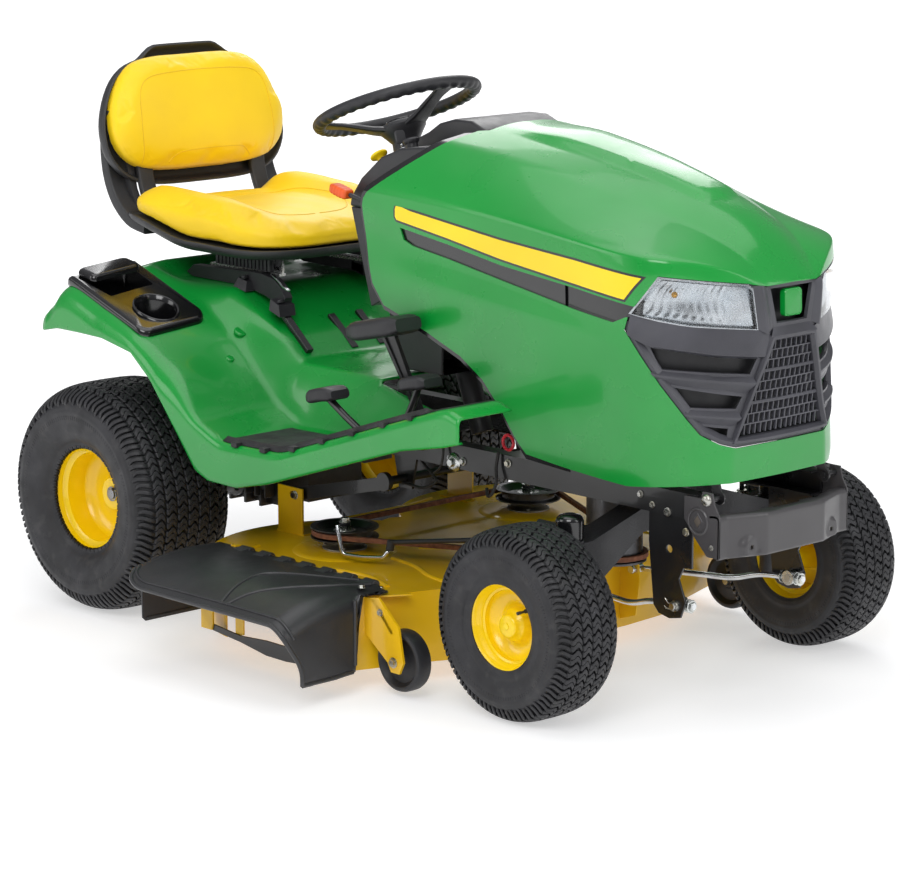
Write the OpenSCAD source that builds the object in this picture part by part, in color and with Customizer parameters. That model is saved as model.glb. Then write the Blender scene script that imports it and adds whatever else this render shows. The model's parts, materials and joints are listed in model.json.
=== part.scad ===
// Riding lawn mower: lawn tractor with a two-blade side-discharge deck.
// Working axes: X forward from the rear axle, Y to the operator's left, Z up from the ground.
// in_frame() moves everything so that the origin is the centre of the footprint, on the ground.

/* [Wheels] */
// Distance from rear axle to front axle
wheelbase = 1240; // [1235:1:1250]
// Radius of a rear tyre (20x10.00-8 class)
rear_tyre_r = 250; // [248:1:252]
// Width of a rear tyre
rear_tyre_w = 252; // [246:1:256]
// Distance from the centre plane to the middle of a rear tyre
rear_half_track = 430; // [428:1:436]
// Radius of a front tyre (15x6.00-6 class)
front_tyre_r = 190.5; // [189:0.5:192]
// Width of a front tyre
front_tyre_w = 158; // [152:1:160]
// Distance from the centre plane to the middle of a front tyre
front_half_track = 412; // [410:1:418]
// Distance from the centre plane to a kingpin
kingpin_y = 296; // [292:1:298]

/* [Frame] */
// Outer half width of the two frame rails
rail_y = 182; // [178:1:184]
// Underside of the rails above the ground
rail_z = 390; // [386:1:394]
// Height of a rail
rail_h = 50; // [46:1:52]
// Front face of the bumper, from the rear axle
bumper_x = 1561; // [1558:1:1570]
// Rearmost point of the seat back, behind the rear axle
seat_rear_x = -326; // [-330:1:-324]
// Radius of the hitch hole
hitch_hole_r = 9.5; // [6:0.5:12]
// Half spacing of the two bumper holes
bumper_hole_y = 117; // [100:1:125]

/* [Hood] */
// Half width of the hood at its widest
hood_half_w = 284; // [278:1:288]
// Wall thickness of the hood
hood_t = 4; // [3:0.5:5]
// Height of the hood pivot
hood_pivot_z = 437; // [434:1:440]
// Distance of the hood pivot from the rear axle
hood_pivot_x = 1499; // [1496:1:1502]

/* [Steering] */
// Radius of the steering wheel, to the middle of its rim
wheel_ring_r = 170; // [160:1:176]
// Radius of the rim's round section
wheel_tube_r = 14; // [12:0.5:15]
// Tilt of the steering wheel from level, in degrees
column_tilt = 21.6; // [20:0.1:24]

/* [Mower deck] */
// Radius of each half of the deck shell
lobe_r = 285; // [280:1:288]
// Distance of each blade spindle from the centre plane
spindle_y = 270; // [268:1:274]
// Distance of the spindles in front of the rear axle
spindle_x = 552; // [550:1:560]
// Top face of the deck shell
deck_z = 190; // [186:1:194]
// Lower edge of the deck shell
deck_low_z = 42; // [36:1:50]
// Wall thickness of the deck shell
deck_t = 3; // [2.5:0.5:4]
// Outer edge of the discharge chute, from the centre plane
chute_y = 742; // [735:1:760]
// Length of a blade
blade_len = 530; // [500:1:532]
// Radius of a gauge wheel
gauge_r = 62; // [58:1:64]

/* [Seat] */
// Half width of the seat cushion
seat_half_w = 240; // [230:1:245]
// Height of the seat hinge
seat_hinge_z = 752; // [750:1:754]

/* [Hidden] */
$fn = 64;

GREEN = "#1ca44b";
YELLOW = "#f2cf00";
BLACK = "#2c2c2e";
STEEL = "#b9bcc0";
left_y = rear_half_track + rear_tyre_w / 2;
frame_shift = [-(bumper_x + seat_rear_x) / 2, -(left_y - chute_y) / 2, 0];

rail_top = rail_z + rail_h;
kingpin_x = wheelbase;
clutch_x = 1076;
belt_z = 231;
belt_r = 70;
drive_z = 366;
crank_r = 34;
input_r = 50;
input_x = 60;
clutch_r = 58;
lift_shaft_x = 640;
lift_shaft_z = 345;
hanger_x = 372;
hanger_z = 276;
hanger_y = 250;
draft_pin_x = 1410;
draft_pin_z = 212;
draft_pin_y = 160;
draft_rear_x = 1040;
draft_rear_z = 174;
draft_rear_y = 112;
nose_x = 1000;
tank_x = 800;
tank_y = 96;
arm_x = 84;
gauge_x = 968;
gauge_y = 482;
gauge_z = 73;
wheel_x = 424;
wheel_z = 1092;
seat_hinge_x = 190;
key_tilt = 18.7;
switch_tilt = 40.24;
bumper_hole_z = 342;
bumper_hole_r = 5.5;
axle_pivot_z = 356;
chute_hinge_y = 470;
chute_hinge_z = 206;
throttle_pivot = [620, -236, 915];
lift_pedal_pivot = [800, -262, 466];
brake_pedal_pivot = [900, 262, 470];
drive_pedal_x = 800;
drive_pedal_z = 468;

// Moves the working axes to the frame of the finished object
module in_frame() translate(frame_shift) children();

module both_sides() {
  children();
  mirror([0, 1, 0]) children();
}

// Side outline in X and Z, made solid from y0 to y1
module side_plate(points, y0, y1) {
  translate([0, y1, 0]) rotate([90, 0, 0]) linear_extrude(y1 - y0) polygon(points);
}

module pin_y(x, z, r, y0, y1) translate([x, y1, z]) rotate([90, 0, 0]) cylinder(h = y1 - y0, r = r);

module pin_x(y, z, r, x0, x1) translate([x0, y, z]) rotate([0, 90, 0]) cylinder(h = x1 - x0, r = r);

module pin_z(x, y, r, z0, z1) translate([x, y, z0]) cylinder(h = z1 - z0, r = r);

module box(x0, x1, y0, y1, z0, z1) translate([x0, y0, z0]) cube([x1 - x0, y1 - y0, z1 - z0]);

module rotate_about(x, a) translate([x, 0, 0]) rotate([0, 0, a]) children();

// Round bar from a to b
module bar(a, b, r) {
  d = b - a;
  translate(a) rotate([0, acos(d.z / norm(d)), atan2(d.y, d.x)]) cylinder(h = norm(d), r = r);
}

// Band of thickness t that follows a line of points, on its left side
function turn(v) = [-v.y, v.x] / norm(v);
function miter(p, i) =
  let (
    a = turn(p[min(i + 1, len(p) - 1)] - p[min(i, len(p) - 2)]),
    b = turn(p[max(i, 1)] - p[max(i - 1, 0)])
  ) (a + b) / (1 + a * b);
function band(p, t) = concat(p, [for (i = [len(p) - 1:-1:0]) p[i] + miter(p, i) * t]);

// Grooved pulley of groove radius r, on the centre plane
module grooved_pulley(x, r, z) translate([x, 0, 0]) rotate_extrude() polygon([[9, z - 11], [r + 12, z - 11],
  [r + 12, z - 8], [r, z - 6], [r, z + 6], [r + 12, z + 8], [r + 12, z + 11], [9, z + 11]]);

// ---------- chassis ----------
module rail() {
  difference() {
    box(-170, 1470, rail_y - 36, rail_y, rail_z, rail_top);
    box(-171, 1471, rail_y - 37, rail_y - 4, rail_z + 4, rail_top - 4);
    pin_y(lift_shaft_x, rail_z + 25, 6, rail_y - 6, rail_y + 1);
  }
  box(60, 210, rail_y - 36, rail_y - 32, 322, rail_z + 2);
}

// Rear plate of the frame, bent back to carry the hitch hole
module hitch_plate() difference() {
  union() {
    box(-296, -164, -60, 60, 262, 268);
    box(-170, -164, 36.3 - rail_y, rail_y - 36.3, 262, rail_top - 2);
  }
  pin_z(-262, 0, hitch_hole_r, 255, 275);
  both_sides() pin_x(110, 360, 6.6, -180, -160);
}

module frame_rails() color(BLACK) in_frame() {
  both_sides() {
    rail();
    difference() {
      side_plate([[lift_shaft_x - 34, rail_z + 1], [lift_shaft_x - 20, lift_shaft_z - 22],
        [lift_shaft_x + 20, lift_shaft_z - 22], [lift_shaft_x + 34, rail_z + 1]],
        rail_y - 10, rail_y - 4);
      pin_y(lift_shaft_x, lift_shaft_z, 9.3, rail_y - 12, rail_y);
    }
  }
  hitch_plate();
  box(480, 530, 36.3 - rail_y, rail_y - 36.3, rail_z, rail_z + 4);
  difference() {
    union() {
      box(930, 1330, 36.3 - rail_y, rail_y - 36.3, rail_top - 6, rail_top);
      box(wheelbase - 46, wheelbase - 38, -60, 60, axle_pivot_z - 20, rail_top - 5);
      box(wheelbase + 38, wheelbase + 46, -60, 60, axle_pivot_z - 20, rail_top - 5);
    }
    pin_x(0, axle_pivot_z, 12.3, wheelbase - 50, wheelbase + 50);
    pin_z(clutch_x, 0, 24, rail_z, rail_top + 1);
  }
}

module front_bumper() color(BLACK) in_frame() {
  plan = [[1531, -188], [1531, -163], [bumper_x, -83], [bumper_x, 83], [1531, 163], [1531, 188]];
  difference() {
    union() {
      translate([0, 0, 324]) linear_extrude(81) polygon(band(plan, 4));
      both_sides() {
        box(1536, 1552, bumper_hole_y - 16, bumper_hole_y + 16, bumper_hole_z - 16, bumper_hole_z + 16);
        side_plate([[1440, 392], [1440, 438], [1484, 438], [1486, 452], [1512, 452], [1518, 430],
          [1531, 405], [1531, 326], [1500, 326]], 184, 188);
      }
    }
    both_sides() {
      pin_x(bumper_hole_y, bumper_hole_z, bumper_hole_r, 1500, 1570);
      pin_y(hood_pivot_x, hood_pivot_z, 6.05, 180, 192);
    }
  }
}

module draft_hangers() color(BLACK) in_frame() both_sides() difference() {
  side_plate([[1338, 389.5], [1338, 330], [1352, 205], [1366, 190], [1394, 184], [1424, 190],
    [1436, 222], [1418, 266], [1430, 290], [1452, 292], [1452, 389.5]], 172, 177);
  pin_y(draft_pin_x, draft_pin_z, 8.05, 170, 180);
  pin_y(1392, 322, 8, 170, 180);
}

module engine_block() color("#8d9093") in_frame() {
  box(985, 1215, -130, 130, rail_top + 0.5, 560);
  both_sides() intersection() {
    translate([1120, 60, 590]) rotate([-48, 0, 0]) {
      translate([-62, -55, 0]) cube([124, 110, 150]);
      for (k = [0:5]) translate([-74, -67, 24 + 20 * k]) cube([148, 134, 7]);
    }
    box(1000, 1240, -10, 236, 470, 760);
  }
  pin_z(clutch_x, 0, 14, 300, rail_top + 1);
}

module blower_housing() color("#3a3a3d") in_frame() difference() {
  union() {
    pin_z(clutch_x, 0, 128, 765, 842);
    pin_z(clutch_x, 0, 92, 842, 862);
    box(clutch_x - 128, clutch_x + 150, -120, 120, 765, 800);
  }
  pin_z(clutch_x, 0, 124, 760, 838);
  box(clutch_x - 124, clutch_x + 146, -116, 116, 760, 796);
  for (k = [0:11]) rotate_about(clutch_x, 30 * k) box(34, 84, -5, 5, 830, 870);
}

module muffler() color("#7b7d80") in_frame() {
  difference() {
    pin_y(1360, 590, 66, -150, 150);
    pin_y(1360, 590, 63, -147, 147);
    pin_x(0, 590, 20, 1400, 1440);
  }
  both_sides() bar([1310, 110, 552], [1232, 110, 541], 16);
}

module battery() color("#26262a") in_frame() {
  box(-60, 140, -90, 90, 460, 610);
  both_sides() box(100, 122, 50, 72, 609, 624);
}

module fuel_tank() color("#d9d9d2") in_frame() difference() {
  union() {
    box(700, 900, -150, 150, 650, 830);
    pin_z(tank_x, tank_y, 34, 829, 868);
  }
  box(704, 896, -146, 146, 654, 826);
  pin_z(tank_x, tank_y, 29, 820, 870);
}

module fuel_cap() color(BLACK) in_frame() difference() {
  pin_z(tank_x, tank_y, 42, 846, 880);
  pin_z(tank_x, tank_y, 34.4, 845, 868.3);
}

module clutch_pulley() color("#55575b") in_frame() difference() {
  union() {
    pin_z(clutch_x, 0, 66, belt_z - 14, belt_z - 9);
    pin_z(clutch_x, 0, clutch_r, belt_z - 9, 352);
    translate([clutch_x, 0, 0]) rotate_extrude() polygon([[9, 351], [crank_r + 12, 351],
      [crank_r + 12, drive_z - 8], [crank_r, drive_z - 6], [crank_r, drive_z + 6],
      [crank_r + 12, drive_z + 8], [crank_r + 12, drive_z + 11], [9, drive_z + 11]]);
  }
  pin_z(clutch_x, 0, 14.05, 290, 400);
}

module transaxle() color("#2b2c2f") in_frame() difference() {
  union() {
    box(-96, 150, -112, 112, 196, 321);
    box(150, 236, -96, 60, 214, 300);
    pin_y(0, rear_tyre_r, 46, -236, 236);
    for (k = [0:4]) box(-104 + 52 * k, -96 + 52 * k, -128, 128, 190, 321.5);
    both_sides() box(66, 204, 104, rail_y - 36.3, 306, 321.5);
  }
  pin_y(0, rear_tyre_r, 15.05, -240, 240);
}

// ---------- fender deck, seat and controls ----------
// Slots in the right footrest for the pedal arms, and in the left one for the brake
module pedal_slots() {
  box(704, 830, -414, -386, 420, 640);
  box(780, 896, -366, -338, 420, 640);
  box(770, 860, -300, -256, 420, 640);
  box(850, 912, 256, 299, 420, 640);
}

module fender_deck() color(GREEN) in_frame() {
  top = [[-178, 622], [-148, 700], [-107, 738], [150, 748], [214, 690], [330, 470], [420, 432],
    [604, 436], [1096, 598]];
  skirt = [[1130, 590], [1150, 540], [976, 500], [770, 433], [568, 368], [470, 346], [380, 348],
    [342, 362], [294, 419], [196, 533], [129, 585], [26, 604], [-60, 606], [-130, 606], [-168, 600]];
  difference() {
    union() {
      both_sides() {
        side_plate(band(top, 4), 214, 500);
        side_plate(concat(top, skirt), 494, 500);
        side_plate([[-107, 740], [150, 750], [214, 692], [330, 560], [600, 556], [780, 500], [604, 436],
          [420, 432], [330, 470], [150, 640], [-90, 660]], 208, 214);
      }
      side_plate(band([[-160, 700], [-110, 738], [-106, 738], [-98, 690], [120, 690], [290, 600],
        [340, 556], [600, 552]], 4), -208.5, 208.5);
    }
    both_sides() {
      box(-128, 70, 300, 470, 690, 760);
      box(880, 1200, 200, 294, 500, 700);
      box(1096, 1200, 340, 493, 500, 700);
    }
    pedal_slots();
  }
}

module foot_mats() color("#222224") in_frame() difference() {
  both_sides()
    side_plate([[424, 436.5], [604, 440.5], [1040, 584], [1040, 590], [602, 446.5], [422, 442.5]], 300, 488);
  pedal_slots();
}

module storage_tray() color(BLACK) in_frame() both_sides() difference() {
  box(-126, 68, 302, 468, 680, 752);
  box(-118, -20, 312, 458, 700, 760);
  pin_z(28, 386, 34, 688, 760);
}

module seat_base() color(BLACK) in_frame() both_sides() {
  side_plate([[-80, 694.5], [120, 694.5], [232, 640], [240, 640], [240, 700], [236, 717], [-60, 717],
    [-80, 705]], 150, 156);
  box(-70, 236, 128, 156, 712.2, 717);
}

module seat_carriage() color("#3a3b3e") in_frame() {
  both_sides() difference() {
    union() {
      box(-30, 206, 130, 148, 717.5, 724);
      side_plate([[150, 723], [206, 723], [206, 744], [198, 760], [182, 760], [150, 730]], 134, 140);
    }
    pin_y(seat_hinge_x, seat_hinge_z, 5.05, 132, 150);
  }
  box(-30, -12, -131, 131, 718, 724);
}

module seat_pan() color(BLACK) in_frame() {
  difference() {
    union() {
      side_plate([[-196, 766], [230, 766], [262, 776], [262, 783], [228, 774], [-196, 774]], -230, 230);
      side_plate([[-240, 800], [-220, 775], [-190, 766], [-190, 774], [-214, 784], [-236, 812]], -184, 184);
      both_sides() side_plate([[174, 767], [174, 748], [182, 742], [198, 742], [206, 748], [206, 767]],
        142, 147);
    }
    both_sides() pin_y(seat_hinge_x, seat_hinge_z, 5.05, 138, 150);
  }
}

module cushion(size, r) hull() for (x = [r, size.x - r], y = [r - size.y / 2, size.y / 2 - r],
  z = [r, size.z - r]) translate([x, y, z]) sphere(r, $fn = 24);

module seat_cushion() color(YELLOW) in_frame()
  translate([-206, 0, 778]) rotate([0, -1, 0]) cushion([476, 2 * seat_half_w, 88], 36);

// Back shell behind the cushion, with two deep arms down to the pan
module seat_back_shell() color(BLACK) in_frame() {
  side_plate(band([[-303, 950], [-310, 1000], [seat_rear_x + 6, 1080], [seat_rear_x + 6, 1130], [-314, 1156]],
    -6), -226, 226);
  side_plate(band([[-300, 930], [seat_rear_x + 7, 1100], [-308, 1166], [-290, 1192]], -7), -132, 132);
  both_sides() side_plate([[-150, 774.4], [-240, 774.4], [-288, 830], [-304, 900], [-314, 1000],
    [seat_rear_x, 1080], [-312, 1084], [-296, 1000], [-278, 900], [-246, 850], [-212, 812],
    [-210, 777.4], [-150, 777.4]], 188, 232);
}

module seat_back_cushion() color(YELLOW) in_frame()
  translate([-190, 0, 900]) rotate([0, -102, 0]) cushion([256, 2 * seat_half_w + 8, 74], 34);

module dash_panel() color(BLACK) in_frame() difference() {
  union() {
    side_plate([[458, 905], [452, 930], [500, 985], [556, 1034], [618, 1078], [640, 1092], [717, 1110],
      [767, 1110], [812, 1090], [812, 1000], [800, 905]], -112, 112);
    both_sides() side_plate([[500, 905], [492, 930], [520, 985], [585, 1040], [650, 1062], [690, 1064],
      [690, 905]], 110, 200);
  }
  side_plate([[466, 900], [462, 928], [508, 979], [566, 1027], [640, 1080], [720, 1100], [765, 1100],
    [802, 1084], [790, 900]], -104, 104);
  both_sides() side_plate([[510, 900], [502, 930], [528, 980], [590, 1031], [652, 1053], [700, 1055],
    [700, 900]], 103, 192);
  bar([wheel_x, 0, wheel_z], [600, 0, 648], 27);
  on_key_slope() translate([0, 0, -20]) cylinder(h = 30, r = 8.4);
  on_switch_slope() translate([0, 0, -20]) cylinder(h = 30, r = 7.4);
}

module dash_tower() color("#29292b") in_frame() difference() {
  union() {
    side_plate([[560, 560], [520, 700], [458, 904], [690, 904], [690, 560]], -120, 120);
    both_sides() side_plate([[560, 700], [499, 904], [690, 904], [690, 760]], 118, 200);
  }
  side_plate([[568, 552], [529, 700], [466, 910], [700, 910], [700, 552]], -114, 114);
  both_sides() side_plate([[572, 712], [511, 910], [700, 910], [700, 772]], 110, 192);
}

module steering_column() color("#3c3c3f") in_frame() difference() {
  bar([448, 0, wheel_z - 60.7], [688, 0, 424], 24);
  bar([430, 0, wheel_z - 15.2], [700, 0, 393.6], 11);
}

module steering_wheel() color("#232325") in_frame()
  translate([wheel_x, 0, wheel_z]) rotate([0, -column_tilt, 0]) {
    rotate_extrude() translate([wheel_ring_r, 0]) circle(wheel_tube_r);
    for (a = [-90, 35, 145]) rotate([0, 0, a + 90])
      translate([30, -17, -22]) cube([wheel_ring_r - 34, 34, 12]);
    translate([0, 0, -36]) cylinder(h = 40, r = 46);
    translate([0, 0, -330]) cylinder(h = 296, r = 10);
  }

// Puts a control on the right wing of the dash panel, its axis square to the surface
module on_key_slope() translate([610, -160, 1048.5]) rotate([0, -key_tilt, 0]) children();
module on_switch_slope() translate([546, -160, 1007]) rotate([0, -switch_tilt, 0]) children();

module ignition_key() color(STEEL) in_frame() on_key_slope() {
  translate([0, 0, -14]) cylinder(h = 26, r = 8);
  translate([-2, -13, 11]) cube([4, 26, 26]);
}

module blade_switch_knob() color("#f0c400") in_frame() on_switch_slope() {
  translate([0, 0, -18]) cylinder(h = 36, r = 7);
  translate([0, 0, 16]) cylinder(h = 12, r = 17);
}

module throttle_lever() color("#d4551b") in_frame() {
  p = throttle_pivot;
  bar(p, [520, p.y, 938], 5);
  bar([532, p.y, 935], [490, p.y, 945], 13);
  pin_y(p.x, p.z, 12, p.y - 5, p.y + 5);
}

module lift_pedal() color(BLACK) in_frame() {
  p = lift_pedal_pivot;
  bar([p.x, p.y, p.z], [760, -320, 690], 9);
  pin_y(p.x, p.z, 16, -276, -230);
  translate([753, -340, 698]) rotate([0, -12, 0]) cushion_pad([150, 86, 34]);
}
module cushion_pad(s) translate(-s / 2) cube(s);

module brake_pedal() color(BLACK) in_frame() {
  p = brake_pedal_pivot;
  pin_y(p.x, p.z, 16, 230, 276);
  bar([p.x, 262, p.z], [842, 330, 660], 9);
  translate([838, 350, 668]) rotate([0, -60, 0]) cushion_pad([84, 96, 16]);
}

module drive_pedal(pad_x, pad_z, y) {
  pin_y(drive_pedal_x, drive_pedal_z, 13, y - 12, y + 12);
  bar([drive_pedal_x, y, drive_pedal_z], [pad_x, y, pad_z - 10], 8);
  translate([pad_x, y, pad_z]) rotate([0, -12, 0]) cushion_pad([92, 62, 16]);
}

module forward_pedal() color("#1e1e20") in_frame() drive_pedal(648, 556, -400);

module reverse_pedal() color("#1e1e20") in_frame() drive_pedal(872, 604, -352);

// ---------- hood ----------
// Corner points of the hood's outside, one side of it
hood_low = [[560, 277, 440], [1353, 264, 438], [1455, 204, 438], [1508, 174, 455], [1518, 0, 455]];
hood_mid = [[560, 278, 700], [900, hood_half_w, 900], [560, 276, 940], [1190, hood_half_w, 888],
  [1372, hood_half_w - 3, 785], [1425, 248, 868], [1490, 168, 700], [1528, 84, 800], [1543, 0, 741]];
hood_top = [[560, 200, 1070], [900, 172, 1030], [1190, 140, 988], [1400, 100, 940], [1538, 68, 839],
  [560, 0, 1108], [900, 0, 1088], [1190, 0, 1040], [1400, 0, 976], [1500, 0, 905], [1543, 0, 842]];
hood_points = concat(hood_low, hood_mid, hood_top);
hood_side = [[614, 1200], [614, 935], [647, 784], [701, 749], [850, 695], [966, 625], [1023, 536],
  [1080, 484], [1191, 451], [1353, 447], [1504, 462], [1600, 462], [1600, 1200]];
fascia_side = [[1362, 758], [1366, 776], [1438, 868], [1538, 836], [1600, 836], [1600, 540], [1507, 540],
  [1507, 596], [1441, 673]];
light_side = [[1367, 777], [1438, 867], [1538, 835], [1600, 835], [1600, 752], [1500, 752]];

// Solid inside the hood's outside, moved inwards by t
module hood_volume(t) hull() for (p = hood_points, s = [-1, 1]) translate(
  [p.x < 600 ? p.x : p.x - t, s * max(p.y - t, 0), p.z > 700 ? p.z - t : p.z - (t > 0 ? 60 : 0)])
  cube(0.5, center = true);

module hood_cut(outline) side_plate(outline, -320, 320);

module hood_shell() color(GREEN) in_frame() difference() {
  intersection() {
    hood_volume(0);
    hood_cut(hood_side);
  }
  hood_volume(hood_t);
  hood_cut(fascia_side);
  translate([0, 0, 880]) linear_extrude(300) polygon([[600, 277], [706, 196], [822, 110], [830, 0],
    [822, -110], [706, -196], [600, -277]]);
}

module front_part(outline, t0, t1) intersection() {
  difference() {
    hood_volume(t0);
    hood_volume(t1);
  }
  hood_cut(outline);
}

module grille_louvres() difference() {
  front_part(fascia_side, 1, 12);
  difference() {
    hood_cut(light_side);
    box(1400, 1600, -70, 70, 700, 900);
  }
  for (k = [0:3]) {
    z = 560 + 47 * k;
    box(1450, 1600, 8 * k - 100, 100 - 8 * k, z, z + 35);
    both_sides() side_plate([[1400, z + 8], [1530, z - 12], [1530, z + 16], [1400, z + 34]], 138, 320);
  }
  box(1450, 1600, -46, 46, 770, 826);
}

// Louvred frame with a sheet of mesh behind it
module grille() color("#3b3b3f") in_frame() {
  grille_louvres();
  front_part([[1408, 548], [1600, 548], [1600, 826], [1503, 742], [1408, 742]], 11, 15);
}

module headlights() color("#dfe6ea") in_frame() difference() {
  front_part(light_side, 0.5, 9);
  box(1300, 1600, -78, 78, 700, 900);
}

module hood_stripes() color(YELLOW) in_frame() difference() {
  front_part([[712, 924], [1432, 864], [1378, 806], [735, 898]], -2.2, -0.2);
  box(600, 1600, -200, 200, 700, 1200);
}

// Two arms that carry the hood on pivot pins in the bumper's side plates
module hood_hinge() color(BLACK) in_frame() both_sides() {
  difference() {
    union() {
      side_plate([[hood_pivot_x - 14, hood_pivot_z], [1476, 470], [1446, 590], [1458, 594], [1492, 484],
        [hood_pivot_x + 3, 454], [hood_pivot_x + 14, hood_pivot_z]], 150, 155);
      pin_y(hood_pivot_x, hood_pivot_z, 14, 150, 155);
    }
    pin_y(hood_pivot_x, hood_pivot_z, 6.05, 148, 156);
  }
  pin_y(hood_pivot_x, hood_pivot_z, 6, 148, 192);
}

// ---------- front axle and steering ----------
module front_axle() color("#343437") in_frame() difference() {
  union() {
    translate([wheelbase - 30, 0, 0]) rotate([90, 0, 90]) linear_extrude(60) polygon([[-322, 232],
      [-262, 232], [-120, 326], [120, 326], [262, 232], [322, 232], [322, 328], [262, 331], [110, 378],
      [-110, 378], [-262, 331], [-322, 328]]);
    both_sides() pin_z(kingpin_x, kingpin_y, 30, 228, 334);
  }
  both_sides() pin_z(kingpin_x, kingpin_y, 14.05, 200, 400);
  pin_x(0, axle_pivot_z, 12.05, wheelbase - 40, wheelbase + 40);
}

module knuckle() {
  pin_z(kingpin_x, kingpin_y, 14, 196, 372);
  pin_z(kingpin_x, kingpin_y, 24, 334.5, 378);
  pin_z(kingpin_x, kingpin_y, 24, 174, 227.5);
  pin_y(kingpin_x, front_tyre_r, 12.5, kingpin_y, front_half_track + 52);
  bar([kingpin_x, kingpin_y, 352], [kingpin_x - arm_x, kingpin_y, 352], 9);
  pin_z(kingpin_x - arm_x, kingpin_y, 5, 310, 352);
}

module knuckle_left() color("#2f2f32") in_frame() knuckle();
module knuckle_right() color("#2f2f32") in_frame() mirror([0, 1, 0]) knuckle();

module tie_rod() color(STEEL) in_frame() difference() {
  union() {
    pin_y(kingpin_x - arm_x, 322, 7, -kingpin_y, kingpin_y);
    both_sides() pin_z(kingpin_x - arm_x, kingpin_y, 11, 313, 331);
  }
  both_sides() pin_z(kingpin_x - arm_x, kingpin_y, 5.05, 300, 340);
}

// Section of a tyre with a rounded crown, radius in X and width in Y
module tyre_section(r, w, bead_r, bead_w) {
  c = 0.2 * w;
  side = concat([[bead_r, bead_w / 2], [bead_r + 11, bead_w / 2], [bead_r + 17, bead_w / 2 + 7],
    [(r + bead_r) / 2, w / 2]],
    [for (a = [70:-20:10]) [r - c + c * cos(a) - 3, w / 2 - c + c * sin(a)]], [[r, w / 4]]);
  polygon(concat(side, [for (k = [len(side) - 1:-1:0]) [side[k].x, -side[k].y]]));
}

// Hollow tyre about the Y axis, open at its beads
module tyre(r, w, bead_r, bead_w) rotate([90, 0, 0]) rotate_extrude($fn = 96) difference() {
  tyre_section(r, w, bead_r, bead_w);
  tyre_section(r - 16, w - 18, bead_r - 1, bead_w - 18);
}

// Steel rim with its dished disc on the outer side (+Y)
module rim(bead_r, bead_w, disc_r, disc_y, hub_r, bore_r) {
  h = bead_w / 2;
  rotate([-90, 0, 0]) rotate_extrude($fn = 96) polygon([[bore_r, disc_y - 34], [hub_r, disc_y - 34],
    [hub_r, disc_y - 4], [disc_r, disc_y + 6], [disc_r + 8, disc_y - 8], [bead_r - 16, 4 - h],
    [bead_r - 6, -h], [bead_r + 9, -h], [bead_r + 9, 3 - h], [bead_r - 0.4, 4 - h], [bead_r - 0.4, h - 4],
    [bead_r + 9, h - 3], [bead_r + 9, h], [bead_r - 6, h], [bead_r - 10, h - 8], [bead_r - 16, disc_y + 26],
    [disc_r, disc_y + 12], [hub_r, disc_y + 2], [hub_r, disc_y + 22], [bore_r, disc_y + 22]]);
}

module at_front(side) translate([wheelbase, side * front_half_track, front_tyre_r])
  mirror([0, side < 0 ? 1 : 0, 0]) children();
module at_rear(side) translate([0, side * rear_half_track, rear_tyre_r])
  mirror([0, side < 0 ? 1 : 0, 0]) children();

module front_tyre() tyre(front_tyre_r, front_tyre_w, 84, 128);
module rear_tyre() tyre(rear_tyre_r, rear_tyre_w, 112, 184);
module front_rim() rim(84, 142, 58, 6, 26, 12.6);
// Rear rim with the axle shaft that is keyed into its hub
module rear_rim() {
  rim(112, 198, 78, 10, 36, 15.1);
  pin_y(0, 0, 15, 64 - rear_half_track, 40);
}

module front_tyre_right() color(BLACK) in_frame() at_front(-1) front_tyre();
module front_tyre_left() color(BLACK) in_frame() at_front(1) front_tyre();
module front_rim_right() color(YELLOW) in_frame() at_front(-1) front_rim();
module front_rim_left() color(YELLOW) in_frame() at_front(1) front_rim();
module rear_tyre_right() color(BLACK) in_frame() at_rear(-1) rear_tyre();
module rear_tyre_left() color(BLACK) in_frame() at_rear(1) rear_tyre();
module rear_rim_right() color(YELLOW) in_frame() at_rear(-1) rear_rim();
module rear_rim_left() color(YELLOW) in_frame() at_rear(1) rear_rim();

// ---------- mower deck ----------
// Plan outline of the deck, moved inwards by t
module deck_plan(t) {
  both_sides() translate([spindle_x, spindle_y]) circle(lobe_r - t);
  both_sides() polygon([[spindle_x, 540 - t], [872 - t, 540 - t], [930 - t, 372 - t], [990 - t, 236 - t],
    [nose_x - t, 120], [nose_x - t, -1], [spindle_x - 160, -1]]);
}

module deck_shell() difference() {
  translate([0, 0, deck_low_z]) linear_extrude(deck_z - deck_low_z) deck_plan(0);
  translate([0, 0, deck_low_z - 1]) linear_extrude(deck_z - deck_low_z + 1 - deck_t) deck_plan(deck_t);
  box(500, 852, -600, -500, deck_low_z - 1, deck_z - deck_t);
  both_sides() pin_z(spindle_x, spindle_y, 20, 100, 300);
}

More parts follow.
